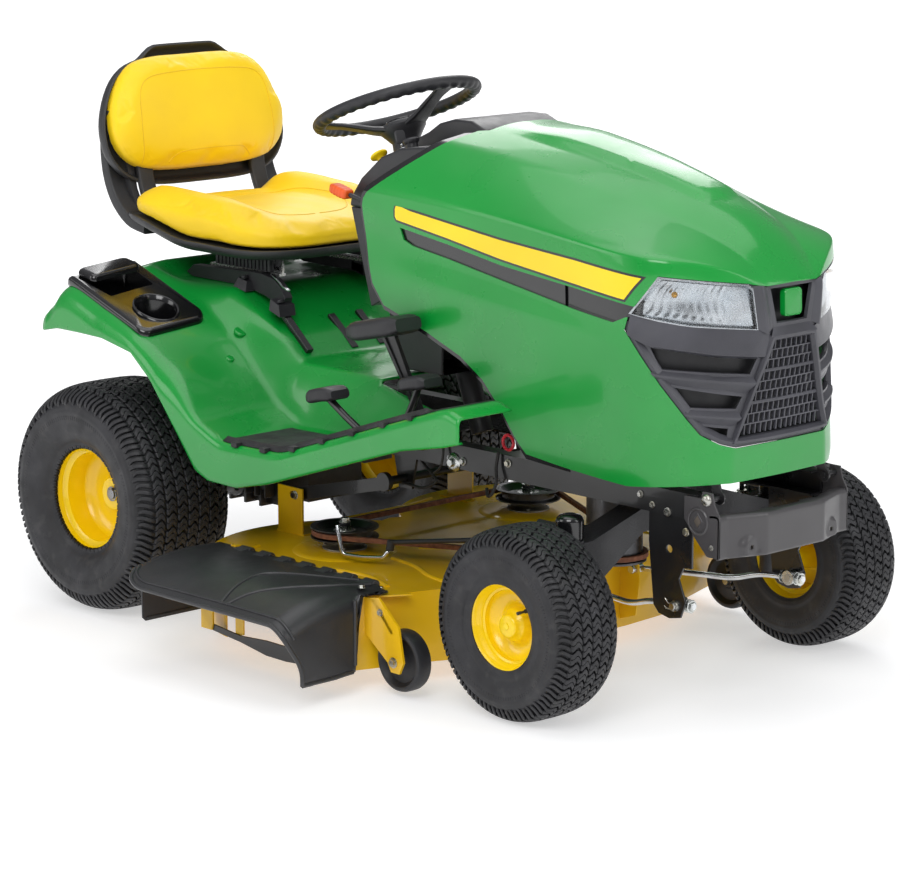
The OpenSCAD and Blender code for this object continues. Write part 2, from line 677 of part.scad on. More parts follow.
module mower_deck() color(YELLOW) in_frame() {
  deck_shell();
  both_sides() {
    difference() {
      union() {
        pin_z(spindle_x, spindle_y, 42, deck_z - 10, deck_z + 6);
        pin_z(spindle_x, spindle_y, 27, 84, belt_z - 14);
      }
      pin_z(spindle_x, spindle_y, 12.55, 60, 300);
    }
    difference() {
      union() {
        box(316, 396, hanger_y - 2, hanger_y + 2, deck_z - 1, 292);
        box(312, 400, hanger_y - 22, hanger_y + 2, deck_z - 1, deck_z + 4);
      }
      for (x = [-9:1:2]) pin_y(hanger_x + x, hanger_z, 7.5, hanger_y - 5, hanger_y + 5);
    }
    difference() {
      side_plate([[nose_x - 2, 60], [1046, 76], [1056, 150], [1052, 186], [1036, 192], [nose_x - 2, 189]],
        draft_rear_y - 16, draft_rear_y - 12);
      pin_y(draft_rear_x, draft_rear_z, 8.4, 50, 120);
    }
    difference() {
      side_plate([[874, 189], [924, 196], [982, 146], [996, 76], [984, 52], [960, 52], [950, 70],
        [880, 120]], gauge_y + 24, gauge_y + 29);
      pin_y(gauge_x, gauge_z, 8.05, gauge_y + 20, gauge_y + 32);
    }
    box(862, 880, gauge_y - 20, gauge_y + 29, 110, 189);
  }
  for (x = [430, 848]) box(x, x + 16, -chute_hinge_y - 8, 8 - chute_hinge_y, deck_z - 1, chute_hinge_z + 8);
  pin_x(-chute_hinge_y, chute_hinge_z, 5, 430, 864);
}

// Panel across the chute, its outline in Y and Z
module cross_panel(x, t, outline) translate([x, 0, 0]) rotate([90, 0, 90]) linear_extrude(t) polygon(outline);

module discharge_chute() color(BLACK) in_frame() {
  roof = [[-466, 205], [-560, 208], [-700, 190], [-chute_y, 166]];
  difference() {
    union() {
      pin_x(-chute_hinge_y, chute_hinge_z, 9, 447, 847);
      cross_panel(385, 520, concat(roof, [for (k = [3:-1:0]) roof[k] + [0, 6]]));
    }
    pin_x(-chute_hinge_y, chute_hinge_z, 5.05, 440, 850);
    box(380, 447, -500, -450, 190, 230);
    box(847, 910, -500, -450, 190, 230);
  }
  cross_panel(897, 8, [[-548, 212], [-560, 212], [-700, 194], [-chute_y, 168], [-690, 52], [-560, 48],
    [-548, 60]]);
  cross_panel(430, 6, [[-548, 210], [-560, 212], [-700, 192], [-chute_y, 168], [-724, 92], [-560, 92],
    [-548, 100]]);
}

module gauge_wheel(side) translate([gauge_x, side * gauge_y, gauge_z]) rotate([90, 0, 0]) difference() {
  translate([0, 0, -20]) rotate_extrude() polygon([[8.4, 0], [gauge_r - 12, 0], [gauge_r - 3, 4],
    [gauge_r, 12], [gauge_r, 28], [gauge_r - 3, 36], [gauge_r - 12, 40], [8.4, 40]]);
  translate([0, 0, 14]) cylinder(h = 10, r = 34);
}
module gauge_wheel_right() color("#1d1d1f") in_frame() gauge_wheel(-1);
module gauge_wheel_left() color("#1d1d1f") in_frame() gauge_wheel(1);

// Spindle shaft with its blade clamped below and its belt pulley above
module spindle(side) translate([spindle_x, side * spindle_y, 0]) {
  pin_z(0, 0, 12.5, 58, belt_z + 20);
  difference() {
    rotate([0, 0, 20]) {
      box(-blade_len / 2, blade_len / 2, -28, 28, 66, 71);
      for (a = [0, 180]) rotate([0, 0, a]) translate([190, 12, 66]) rotate([24, 0, 0]) cube([71, 32, 4]);
    }
    pin_z(0, 0, 12.5, 60, 80);
  }
  rotate_extrude() polygon([[12.5, belt_z - 12], [72, belt_z - 12], [72, belt_z - 9], [58, belt_z - 7],
    [58, belt_z + 7], [72, belt_z + 9], [72, belt_z + 12], [60, belt_z + 12], [44, belt_z],
    [12.5, belt_z]]);
}
module spindle_right() color("#8e8f92") in_frame() spindle(-1);
module spindle_left() color("#8e8f92") in_frame() spindle(1);

// Plan of a belt's inside or outside edge, round the clutch pulley and both spindle pulleys
module belt_plan(r) hull() {
  translate([clutch_x, 0]) circle(r, $fn = 32);
  both_sides() translate([spindle_x, spindle_y]) circle(r, $fn = 32);
}

module deck_belt() color("#6e4a3c") in_frame() translate([0, 0, belt_z - 5]) linear_extrude(10) difference() {
  belt_plan(belt_r);
  belt_plan(belt_r - 10);
}

module drive_plan(grow) hull() {
  translate([clutch_x, 0]) circle(crank_r + grow, $fn = 32);
  translate([input_x, 0]) circle(input_r + grow, $fn = 32);
}

module drive_belt() color("#3a2f2b") in_frame() translate([0, 0, drive_z - 5]) linear_extrude(10)
  difference() {
    drive_plan(11);
    drive_plan(1.5);
  }

module input_pulley() color("#55575b") in_frame() {
  grooved_pulley(input_x, input_r, drive_z);
  pin_z(input_x, 0, 9, 322, drive_z + 8);
}

module lift_arms() color(BLACK) in_frame() {
  pin_y(lift_shaft_x, lift_shaft_z, 9, -236, 236);
  both_sides() {
    side_plate(band([[lift_shaft_x + 12, lift_shaft_z + 14], [hanger_x - 14, hanger_z + 13]], 28),
      hanger_y - 14, hanger_y - 8);
    pin_y(lift_shaft_x, lift_shaft_z, 20, hanger_y - 20, hanger_y - 8);
    pin_y(hanger_x, hanger_z, 6, hanger_y - 14, hanger_y + 10);
  }
}

module draft_rods() color(STEEL) in_frame() both_sides() {
  bar([draft_pin_x - 12, draft_pin_y, draft_pin_z - 2], [draft_rear_x, draft_rear_y, draft_rear_z], 6);
  difference() {
    pin_y(draft_pin_x, draft_pin_z, 15, draft_pin_y - 8, draft_pin_y + 8);
    pin_y(draft_pin_x, draft_pin_z, 8.05, 100, 200);
  }
  pin_y(draft_rear_x, draft_rear_z, 6, draft_rear_y - 24, draft_rear_y + 4);
}

module bolts_and_pins() color(STEEL) in_frame() {
  pin_x(0, axle_pivot_z, 12, wheelbase - 54, wheelbase + 54);
  both_sides() {
    pin_y(draft_pin_x, draft_pin_z, 8, draft_pin_y - 10, 184);
    pin_y(1456, 415, 9, 188, 196);
  }
}

frame_rails();
front_bumper();
draft_hangers();
engine_block();
blower_housing();
muffler();
battery();
fuel_tank();
fuel_cap();
clutch_pulley();
transaxle();
fender_deck();
foot_mats();
storage_tray();
seat_base();
seat_carriage();
seat_pan();
seat_cushion();
seat_back_shell();
seat_back_cushion();
dash_panel();
dash_tower();
steering_column();
steering_wheel();
ignition_key();
blade_switch_knob();
throttle_lever();
lift_pedal();
brake_pedal();
forward_pedal();
reverse_pedal();
hood_shell();
grille();
headlights();
hood_stripes();
hood_hinge();
front_axle();
knuckle_right();
knuckle_left();
tie_rod();
front_tyre_right();
front_tyre_left();
front_rim_right();
front_rim_left();
rear_tyre_right();
rear_tyre_left();
rear_rim_right();
rear_rim_left();
mower_deck();
discharge_chute();
gauge_wheel_right();
gauge_wheel_left();
spindle_right();
spindle_left();
deck_belt();
drive_belt();
input_pulley();
lift_arms();
draft_rods();
bolts_and_pins();
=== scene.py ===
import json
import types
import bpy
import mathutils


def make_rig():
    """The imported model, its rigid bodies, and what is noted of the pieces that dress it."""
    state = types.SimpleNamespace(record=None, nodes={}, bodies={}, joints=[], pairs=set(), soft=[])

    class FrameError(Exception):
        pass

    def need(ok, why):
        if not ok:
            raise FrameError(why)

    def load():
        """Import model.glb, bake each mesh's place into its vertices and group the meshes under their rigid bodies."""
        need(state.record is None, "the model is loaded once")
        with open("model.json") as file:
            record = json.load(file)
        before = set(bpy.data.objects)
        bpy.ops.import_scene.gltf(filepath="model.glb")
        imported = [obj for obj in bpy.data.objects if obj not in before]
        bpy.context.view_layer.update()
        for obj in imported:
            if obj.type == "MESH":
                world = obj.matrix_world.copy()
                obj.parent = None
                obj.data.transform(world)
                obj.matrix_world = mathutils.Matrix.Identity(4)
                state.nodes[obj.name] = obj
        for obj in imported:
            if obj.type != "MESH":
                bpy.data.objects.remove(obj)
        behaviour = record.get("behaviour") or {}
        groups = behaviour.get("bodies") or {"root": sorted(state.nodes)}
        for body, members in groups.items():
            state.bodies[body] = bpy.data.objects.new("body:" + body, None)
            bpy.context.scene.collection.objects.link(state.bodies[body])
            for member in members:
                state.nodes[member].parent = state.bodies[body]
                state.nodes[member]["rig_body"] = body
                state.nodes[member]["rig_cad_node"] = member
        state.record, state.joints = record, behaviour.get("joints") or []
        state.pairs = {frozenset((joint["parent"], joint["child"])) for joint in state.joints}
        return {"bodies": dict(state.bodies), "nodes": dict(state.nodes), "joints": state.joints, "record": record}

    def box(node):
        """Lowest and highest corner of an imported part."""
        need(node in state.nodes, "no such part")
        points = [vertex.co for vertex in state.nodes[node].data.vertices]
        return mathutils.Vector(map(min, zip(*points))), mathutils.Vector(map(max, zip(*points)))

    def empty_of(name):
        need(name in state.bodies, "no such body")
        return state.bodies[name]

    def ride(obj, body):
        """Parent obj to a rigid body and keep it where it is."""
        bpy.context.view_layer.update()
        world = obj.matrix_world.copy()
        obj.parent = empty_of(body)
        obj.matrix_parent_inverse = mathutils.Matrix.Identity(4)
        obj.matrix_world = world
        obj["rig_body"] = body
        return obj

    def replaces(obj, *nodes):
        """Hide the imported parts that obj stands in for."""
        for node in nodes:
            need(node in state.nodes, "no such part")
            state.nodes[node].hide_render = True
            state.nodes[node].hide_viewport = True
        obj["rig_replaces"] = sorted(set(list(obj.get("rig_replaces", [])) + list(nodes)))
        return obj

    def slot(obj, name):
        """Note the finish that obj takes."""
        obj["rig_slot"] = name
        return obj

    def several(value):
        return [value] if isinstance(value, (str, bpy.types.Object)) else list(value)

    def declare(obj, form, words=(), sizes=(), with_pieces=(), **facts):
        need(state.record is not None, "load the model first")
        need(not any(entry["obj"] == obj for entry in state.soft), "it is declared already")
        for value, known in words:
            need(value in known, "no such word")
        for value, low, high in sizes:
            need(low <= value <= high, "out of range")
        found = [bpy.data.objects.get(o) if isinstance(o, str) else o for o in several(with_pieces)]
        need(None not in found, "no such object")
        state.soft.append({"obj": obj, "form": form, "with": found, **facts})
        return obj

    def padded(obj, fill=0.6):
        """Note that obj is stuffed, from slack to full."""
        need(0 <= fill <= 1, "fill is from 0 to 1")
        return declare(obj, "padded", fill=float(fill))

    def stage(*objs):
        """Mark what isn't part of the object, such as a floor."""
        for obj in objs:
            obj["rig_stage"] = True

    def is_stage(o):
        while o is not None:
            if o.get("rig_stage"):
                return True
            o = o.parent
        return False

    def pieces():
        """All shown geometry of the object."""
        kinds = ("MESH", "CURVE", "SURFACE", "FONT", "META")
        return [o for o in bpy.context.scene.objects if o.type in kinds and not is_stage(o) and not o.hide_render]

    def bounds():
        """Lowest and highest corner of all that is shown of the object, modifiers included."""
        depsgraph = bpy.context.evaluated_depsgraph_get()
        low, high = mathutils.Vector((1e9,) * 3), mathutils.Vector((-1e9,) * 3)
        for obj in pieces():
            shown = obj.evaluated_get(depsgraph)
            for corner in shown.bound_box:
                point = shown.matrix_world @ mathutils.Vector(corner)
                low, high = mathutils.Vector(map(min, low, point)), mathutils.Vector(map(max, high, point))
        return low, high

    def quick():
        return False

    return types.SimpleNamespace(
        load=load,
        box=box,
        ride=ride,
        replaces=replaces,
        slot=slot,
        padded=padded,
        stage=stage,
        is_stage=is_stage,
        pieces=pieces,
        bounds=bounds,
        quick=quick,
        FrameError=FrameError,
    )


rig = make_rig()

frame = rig.load()

import json
import math

import bmesh
import bpy
import numpy as np
from mathutils import Vector
from mathutils.bvhtree import BVHTree

cad_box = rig.bounds()
MM = 0.001

# ---------- working axes ----------
# Millimetres forward from the rear axle, left from the centre plane and up from the ground, as in the CAD.
TYRE_LOW, TYRE_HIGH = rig.box("rear_tyre_right")
LEFT_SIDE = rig.box("rear_tyre_left")[1].y
ORIGIN = Vector(((TYRE_LOW.x + TYRE_HIGH.x) / 2, (TYRE_LOW.y + LEFT_SIDE) / 2, 0))
BODY_OF = {n: b for b, ns in frame["record"]["behaviour"]["bodies"].items() for n in ns}


def at(p):
    """Scene point, in metres, of a working point."""
    return ORIGIN + Vector(p) * MM


def lerp(a, b, t):
    return a + (b - a) * t


def smooth(t):
    t = min(1.0, max(0.0, t))
    return t * t * (3 - 2 * t)


def path_value(points, x):
    """The second number at x on a line of (x, value) points."""
    return float(np.interp(x, [p[0] for p in points], [p[1] for p in points]))


# ---------- materials ----------
def node_tree(name):
    m = bpy.data.materials.new(name)
    m.use_nodes = True
    t = m.node_tree
    bsdf = t.nodes["Principled BSDF"]
    coord = t.nodes.new("ShaderNodeTexCoord")
    return m, t, bsdf, coord.outputs["Object"]


def noise_node(t, coord, scale, detail=3.0, stretch=None):
    n = t.nodes.new("ShaderNodeTexNoise")
    n.inputs["Scale"].default_value = scale
    n.inputs["Detail"].default_value = detail
    if stretch:
        mp = t.nodes.new("ShaderNodeMapping")
        mp.inputs["Scale"].default_value = stretch
        t.links.new(coord, mp.inputs["Vector"])
        coord = mp.outputs["Vector"]
    t.links.new(coord, n.inputs["Vector"])
    return n.outputs["Fac"]


def cells_node(t, coord, scale, feature="F1"):
    n = t.nodes.new("ShaderNodeTexVoronoi")
    n.feature = feature
    n.inputs["Scale"].default_value = scale
    t.links.new(coord, n.inputs["Vector"])
    return n.outputs["Distance"]


def ramp_node(t, fac, stops):
    r = t.nodes.new("ShaderNodeValToRGB")
    e = r.color_ramp.elements
    while len(e) < len(stops):
        e.new(0.5)
    for k, (pos, c) in enumerate(stops):
        e[k].position = pos
        e[k].color = (*c, 1) if len(c) == 3 else c
    t.links.new(fac, r.inputs["Fac"])
    return r.outputs["Color"]


def mix_node(t, fac, a, b, kind="MIX"):
    m = t.nodes.new("ShaderNodeMix")
    m.data_type = "RGBA"
    m.blend_type = kind
    for k, v in ((0, fac), (6, a), (7, b)):
        if isinstance(v, (int, float)):
            m.inputs[k].default_value = v
        elif isinstance(v, tuple):
            m.inputs[k].default_value = (*v, 1)
        else:
            t.links.new(v, m.inputs[k])
    return m.outputs[2]


def range_node(t, fac, lo, hi, out_lo, out_hi):
    m = t.nodes.new("ShaderNodeMapRange")
    for k, v in enumerate((lo, hi, out_lo, out_hi)):
        m.inputs[k + 1].default_value = v
    t.links.new(fac, m.inputs[0])
    return m.outputs[0]


def bump_node(t, height, strength, distance, normal=None):
    b = t.nodes.new("ShaderNodeBump")
    b.inputs["Strength"].default_value = strength
    b.inputs["Distance"].default_value = distance
    t.links.new(height, b.inputs["Height"])
    if normal:
        t.links.new(normal, b.inputs["Normal"])
    return b.outputs["Normal"]


def linear(c):
    """sRGB numbers from 0 to 255 as scene-linear ones."""
    return tuple((v / 12.92 if v <= 0.04045 else ((v + 0.055) / 1.055) ** 2.4) for v in (k / 255 for k in c))


def shade(c, f):
    return tuple(min(1.0, v * f) for v in c)


def edge_highlight(t):
    """Mask for the painted highlight on edges: 1 on convex edges, 0 on flat ground."""
    g = t.nodes.new("ShaderNodeNewGeometry")
    return range_node(t, g.outputs["Pointiness"], 0.52, 0.62, 0, 1)


def patchy_gloss(t, b, fac, span, rough):
    """Roughness between the two values of rough, as the noise goes over span."""
    t.links.new(range_node(t, fac, *span, *rough), b.inputs["Roughness"])


def mottled(t, co, c, scale, detail, dark, light, top=0.7):
    """Colour c drifting between a darker and a lighter shade of itself."""
    return ramp_node(t, noise_node(t, co, scale, detail), [(0.3, shade(c, dark)), (top, shade(c, light))])


def paint(name, rgb, rough=0.22, coat=0.55, peel=0.06):
    """Sprayed enamel: colour drifts a little, the gloss has orange peel, dust dulls it in patches."""
    m, t, b, co = node_tree(name)
    c = linear(rgb)
    col = mottled(t, co, c, 3.5, 4, 0.9, 1.07)
    fine = noise_node(t, co, 60, 5)
    col = mix_node(t, range_node(t, fine, 0.62, 0.8, 0, 0.12), col, shade(c, 1.25))
    # painted highlight: convex edges are lightened
    col = mix_node(t, range_node(t, edge_highlight(t), 0, 1, 0, 0.3), col, shade(c, 1.35))
    t.links.new(col, b.inputs["Base Color"])
    patchy_gloss(t, b, noise_node(t, co, 9, 5), (0.3, 0.75), (rough * 0.8, rough * 1.5))
    t.links.new(bump_node(t, noise_node(t, co, 420, 2), peel, 0.0006), b.inputs["Normal"])
    b.inputs["Coat Weight"].default_value = coat
    b.inputs["Coat Roughness"].default_value = 0.06
    b.inputs["Specular IOR Level"].default_value = 0.5
    return m


def plastic(name, rgb, rough=0.42, grain=0.25, scale=900, coat=0.0):
    """Moulded plastic with a fine spark-eroded texture, its convex edges lightened as a painted highlight."""
    m, t, b, co = node_tree(name)
    c = linear(rgb)
    col = mottled(t, co, c, 7, 4, 0.8, 1.25, 0.72)
    # painted highlight: convex edges are lightened
    col = mix_node(t, range_node(t, edge_highlight(t), 0, 1, 0, 0.45), col, shade(c, 2.4))
    t.links.new(col, b.inputs["Base Color"])
    patchy_gloss(t, b, noise_node(t, co, 24, 5), (0.3, 0.7), (rough * 0.85, rough * 1.2))
    n = bump_node(t, cells_node(t, co, scale), grain, 0.0005)
    t.links.new(bump_node(t, noise_node(t, co, scale * 0.5, 2), grain * 0.6, 0.0005, n), b.inputs["Normal"])
    b.inputs["Coat Weight"].default_value = coat
    b.inputs["Coat Roughness"].default_value = 0.15
    return m


def rubber(name, rgb, rough=0.62):
    """Dusty rubber with a fine and a coarse grain."""
    m, t, b, co = node_tree(name)
    c = linear(rgb)
    col = ramp_node(t, noise_node(t, co, 14, 6), [(0.32, shade(c, 0.7)), (0.7, shade(c, 1.35))])
    dust = range_node(t, noise_node(t, co, 38, 6), 0.56, 0.8, 0, 0.3)
    col = mix_node(t, dust, col, linear((92, 90, 88)))
    t.links.new(col, b.inputs["Base Color"])
    patchy_gloss(t, b, noise_node(t, co, 30, 4), (0.3, 0.7), (rough * 0.8, rough * 1.2))
    n = bump_node(t, noise_node(t, co, 700, 4), 0.22, 0.0006)
    t.links.new(bump_node(t, noise_node(t, co, 120, 3), 0.15, 0.001, n), b.inputs["Normal"])
    b.inputs["Specular IOR Level"].default_value = 0.45
    return m


def metal(name, rgb, rough=0.3, tint=None, stretch=(1, 1, 1), grain=300):
    """Plated or cast metal: tint mottles the colour, stretched noise gives drawing lines."""
    m, t, b, co = node_tree(name)
    c = linear(rgb)
    col = mottled(t, co, c, 28, 4, 0.82, 1.12)
    if tint:
        col = mix_node(t, range_node(t, noise_node(t, co, 16, 3), 0.45, 0.7, 0, 0.5), col, linear(tint))
    t.links.new(col, b.inputs["Base Color"])
    b.inputs["Metallic"].default_value = 1.0
    patchy_gloss(t, b, noise_node(t, co, grain, 3, stretch), (0.3, 0.7), (rough * 0.75, rough * 1.35))
    t.links.new(bump_node(t, noise_node(t, co, grain, 3, stretch), 0.12, 0.0006), b.inputs["Normal"])
    return m


def vinyl(name, rgb):
    """Coated seat fabric: a pebbled grain of small cells with painted shade in its pits, and a soft sheen."""
    m, t, b, co = node_tree(name)
    c = linear(rgb)
    col = mottled(t, co, c, 6, 4, 0.93, 1.04)
    pores = cells_node(t, co, 480)
    # painted shade: the pits of the grain are darkened
    col = mix_node(t, range_node(t, pores, 0.0, 0.25, 0.22, 0), col, shade(c, 0.72))
    t.links.new(col, b.inputs["Base Color"])
    patchy_gloss(t, b, noise_node(t, co, 12, 4), (0.3, 0.7), (0.42, 0.55))
    n = bump_node(t, pores, 0.22, 0.0007)
    t.links.new(bump_node(t, noise_node(t, co, 45, 3), 0.05, 0.002, n), b.inputs["Normal"])
    b.inputs["Sheen Weight"].default_value = 0.12
    b.inputs["Sheen Roughness"].default_value = 0.4
    return m


def belt_material(name, rgb):
    """Woven belt cover, rough and dull."""
    m, t, b, co = node_tree(name)
    c = linear(rgb)
    col = ramp_node(t, noise_node(t, co, 90, 5), [(0.35, shade(c, 0.7)), (0.7, shade(c, 1.3))])
    t.links.new(col, b.inputs["Base Color"])
    b.inputs["Roughness"].default_value = 0.85
    t.links.new(bump_node(t, noise_node(t, co, 900, 3, (1, 1, 0.3)), 0.4, 0.0008), b.inputs["Normal"])
    return m


def clear_lens(name):
    """Clear moulded plastic that light passes through."""
    m, t, b, co = node_tree(name)
    col = ramp_node(t, noise_node(t, co, 20, 3), [(0.3, (0.93, 0.96, 0.98)), (0.7, (1, 1, 1))])
    t.links.new(col, b.inputs["Base Color"])
    b.inputs["Transmission Weight"].default_value = 1.0
    b.inputs["IOR"].default_value = 1.25
    patchy_gloss(t, b, noise_node(t, co, 60, 3), (0.4, 0.8), (0.02, 0.08))
    t.links.new(bump_node(t, noise_node(t, co, 220, 2), 0.04, 0.0005), b.inputs["Normal"])
    return m


def translucent_tank(name):
    """Milky blow-moulded plastic."""
    m, t, b, co = node_tree(name)
    c = linear((214, 212, 200))
    col = mottled(t, co, c, 10, 4, 0.9, 1.05)
    t.links.new(col, b.inputs["Base Color"])
    b.inputs["Subsurface Weight"].default_value = 0.25
    b.inputs["Subsurface Radius"].default_value = (0.01, 0.008, 0.006)
    patchy_gloss(t, b, noise_node(t, co, 40, 4), (0.3, 0.7), (0.35, 0.55))
    t.links.new(bump_node(t, noise_node(t, co, 500, 3), 0.1, 0.0006), b.inputs["Normal"])
    return m


GREEN = paint("green_body_paint", (8, 146, 52), rough=0.27, coat=0.35)
YELLOW = paint("yellow_rim_paint", (255, 214, 0), rough=0.3, coat=0.45)
DECK_YELLOW = paint("yellow_deck_paint", (238, 186, 8), rough=0.33, coat=0.35, peel=0.1)
DECAL_YELLOW = paint("yellow_decal", (252, 216, 0), rough=0.35, coat=0.2, peel=0.02)
KNOB_YELLOW = plastic("yellow_knob_plastic", (245, 200, 0), rough=0.35, grain=0.1)
ORANGE = plastic("orange_knob_plastic", (222, 84, 22), rough=0.4, grain=0.15)
VINYL = vinyl("yellow_vinyl", (255, 212, 0))
PIPING = vinyl("yellow_vinyl_seam", (240, 196, 0))
BLACK_PAINT = paint("black_chassis_paint", (26, 26, 28), rough=0.3, coat=0.4, peel=0.15)
BUMPER_PAINT = paint("black_bumper_paint", (62, 60, 62), rough=0.38, coat=0.3, peel=0.2)
AXLE_PAINT = plastic("black_cast_paint", (34, 34, 37), rough=0.4, grain=0.7, scale=260)
BLACK = plastic("black_plastic", (34, 34, 37), rough=0.4)
SHELL_BLACK = plastic("black_pebbled_plastic", (42, 42, 44), rough=0.5, grain=0.6, scale=330)
CHUTE_BLACK = plastic("black_chute_plastic", (46, 46, 48), rough=0.38, grain=0.3, scale=520)
GRIP = plastic("soft_grip_plastic", (36, 36, 39), rough=0.48, grain=0.35, scale=700)
GRILLE_GREY = plastic("grille_plastic", (66, 66, 72), rough=0.36, grain=0.3, scale=620)
GRILLE_DARK = plastic("grille_mesh_plastic", (30, 30, 33), rough=0.45, grain=0.2)
GLOSS_BLACK = plastic("gloss_black_trim", (16, 16, 18), rough=0.16, grain=0.03, coat=0.5)
MAT_RUBBER = rubber("mat_rubber", (38, 38, 40))
TYRE = rubber("tyre_rubber", (40, 40, 43), rough=0.55)
BELT = belt_material("deck_belt_fabric", (132, 84, 62))
DRIVE_BELT = belt_material("drive_belt_fabric", (88, 64, 52))
STEEL = metal("bare_steel", (150, 152, 156), rough=0.34)
ZINC = metal("zinc_plate", (205, 207, 205), rough=0.24, tint=(214, 205, 170))
CHROME = metal("drawn_bright_rod", (216, 218, 220), rough=0.16, stretch=(1, 8, 8))
ALLOY = metal("cast_engine_alloy", (150, 151, 153), rough=0.5, grain=180)
PULLEY = metal("dark_pulley_steel", (92, 92, 94), rough=0.36, tint=(70, 66, 62))
EXHAUST = metal("muffler_steel", (128, 120, 112), rough=0.5, tint=(116, 84, 60))
MIRROR = metal("lamp_reflector", (178, 182, 186), rough=0.24)
LENS = clear_lens("lamp_lens")
TANK = translucent_tank("tank_plastic")
BOLT = metal("bolt_zinc", (190, 190, 186), rough=0.3, tint=(200, 186, 140))
HOUSING = metal("spindle_housing_alloy", (176, 176, 172), rough=0.42, grain=160)
AMBER = plastic("bulb_amber", (190, 140, 60), rough=0.3, grain=0.05)
RED = plastic("red_ring_plastic", (206, 34, 52), rough=0.35, grain=0.1)
WIRE = plastic("wire_sleeve", (38, 36, 36), rough=0.5, grain=0.4, scale=500)

# The slot that each material's pieces fill, unless a piece names another.
SLOT_OF = {m.name: slot for slot, *ms in (
    ("green_body", GREEN),
    ("yellow_paint", YELLOW, DECK_YELLOW),
    ("yellow_plastic", DECAL_YELLOW, KNOB_YELLOW),
    ("orange_knob", ORANGE, RED),
    ("yellow_vinyl", VINYL, PIPING),
    ("black_paint", BLACK_PAINT, BUMPER_PAINT, EXHAUST),
    ("engine_alloy", AXLE_PAINT, HOUSING),
    ("black_plastic", BLACK, SHELL_BLACK, CHUTE_BLACK, GRIP, GLOSS_BLACK),
    ("grille_plastic", GRILLE_GREY, GRILLE_DARK),
    ("black_rubber", MAT_RUBBER, WIRE),
    ("tyre_rubber", TYRE),
    ("zinc_steel", ZINC, CHROME, BOLT),
    ("lamp_lens", MIRROR, LENS, AMBER),
) for m in ms}


# ---------- mesh helpers ----------
def finish_object(name, mesh, material, body, slot=None, stands_for=(), bevel=0.0, angle=32, subsurf=0,
                  segments=2, weighted=True, solid=0.0):
    """Makes a mesh a smooth piece that rides its body; slot is its material's usual one unless given."""
    o = bpy.data.objects.new(name, mesh)
    bpy.context.scene.collection.objects.link(o)
    mesh.materials.clear()
    mesh.materials.append(material)
    for p in mesh.polygons:
        p.use_smooth = True
    if subsurf:
        s = o.modifiers.new("Subdivision", "SUBSURF")
        s.levels = s.render_levels = subsurf
    if solid:
        k = o.modifiers.new("Thickness", "SOLIDIFY")
        k.thickness, k.offset = solid * MM, -1
    if bevel:
        b = o.modifiers.new("Bevel", "BEVEL")
        b.width = bevel * MM
        b.segments = segments
        b.limit_method = "ANGLE"
        b.angle_limit = math.radians(angle)
        b.use_clamp_overlap = True
    if weighted and not subsurf:
        w = o.modifiers.new("Weighted", "WEIGHTED_NORMAL")
        w.keep_sharp = True
        w.weight = 60
    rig.ride(o, body)
    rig.slot(o, slot or SLOT_OF[material.name])
    if stands_for:
        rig.replaces(o, *stands_for)
    return o


def mark_sharp(bm, degrees):
    """Marks the edges that turn by more than this as sharp."""
    for e in bm.edges:
        e.smooth = not (len(e.link_faces) == 2 and e.calc_face_angle(0) > math.radians(degrees))


def to_mesh(name, bm, sharp=None):
    """A mesh of the bmesh, which is freed."""
    if sharp:
        mark_sharp(bm, sharp)
    mesh = bpy.data.meshes.new(name)
    bm.to_mesh(mesh)
    bm.free()
    return mesh


def filled(verts, faces):
    """A bmesh of these points and faces; a face that is there already is left out."""
    bm = bmesh.new()
    vs = [bm.verts.new(v) for v in verts]
    for f in faces:
        try:
            bm.faces.new([vs[i] for i in f])
        except ValueError:
            pass
    return bm


def piece(name, verts, faces, material, body, closed=True, sharp=None, **kw):
    """A mesh piece from points in working millimetres."""
    bm = filled([at(v) for v in verts], faces)
    if closed:
        bmesh.ops.recalc_face_normals(bm, faces=bm.faces)
    return finish_object(name, to_mesh(name, bm, sharp), material, body, **kw)


def refine(node, material, slot, bevel):
    """The CAD node's own shape, welded, with its flat faces joined and its edges rounded."""
    src = frame["nodes"][node]
    bm = bmesh.new()
    bm.from_mesh(src.data)
    bmesh.ops.remove_doubles(bm, verts=bm.verts, dist=2e-5)
    bmesh.ops.dissolve_limit(bm, angle_limit=math.radians(0.6), verts=bm.verts, edges=bm.edges)
    return finish_object(f"{node}_body", to_mesh(node, bm), material, BODY_OF[node], slot=slot,
                         stands_for=(node,), bevel=bevel)


def quads(rows, n, rows_close=False, points_close=True):
    """Faces between neighbouring rows of n points each; rows or points may close round."""
    return [(i * n + k, i * n + (k + 1) % n, (i + 1) % rows * n + (k + 1) % n, (i + 1) % rows * n + k)
            for i in range(rows if rows_close else rows - 1) for k in range(n if points_close else n - 1)]


def turned_round(axis):
    """The axis as a unit vector, and the function that gives the direction at an angle round it."""
    ax = Vector(axis).normalized()
    u = ax.orthogonal().normalized()
    w = ax.cross(u)
    return ax, lambda a: u * math.cos(a) + w * math.sin(a)


def neighbours(points, i):
    """The points before and after i, or i itself at an end."""
    return points[max(i - 1, 0)], points[min(i + 1, len(points) - 1)]


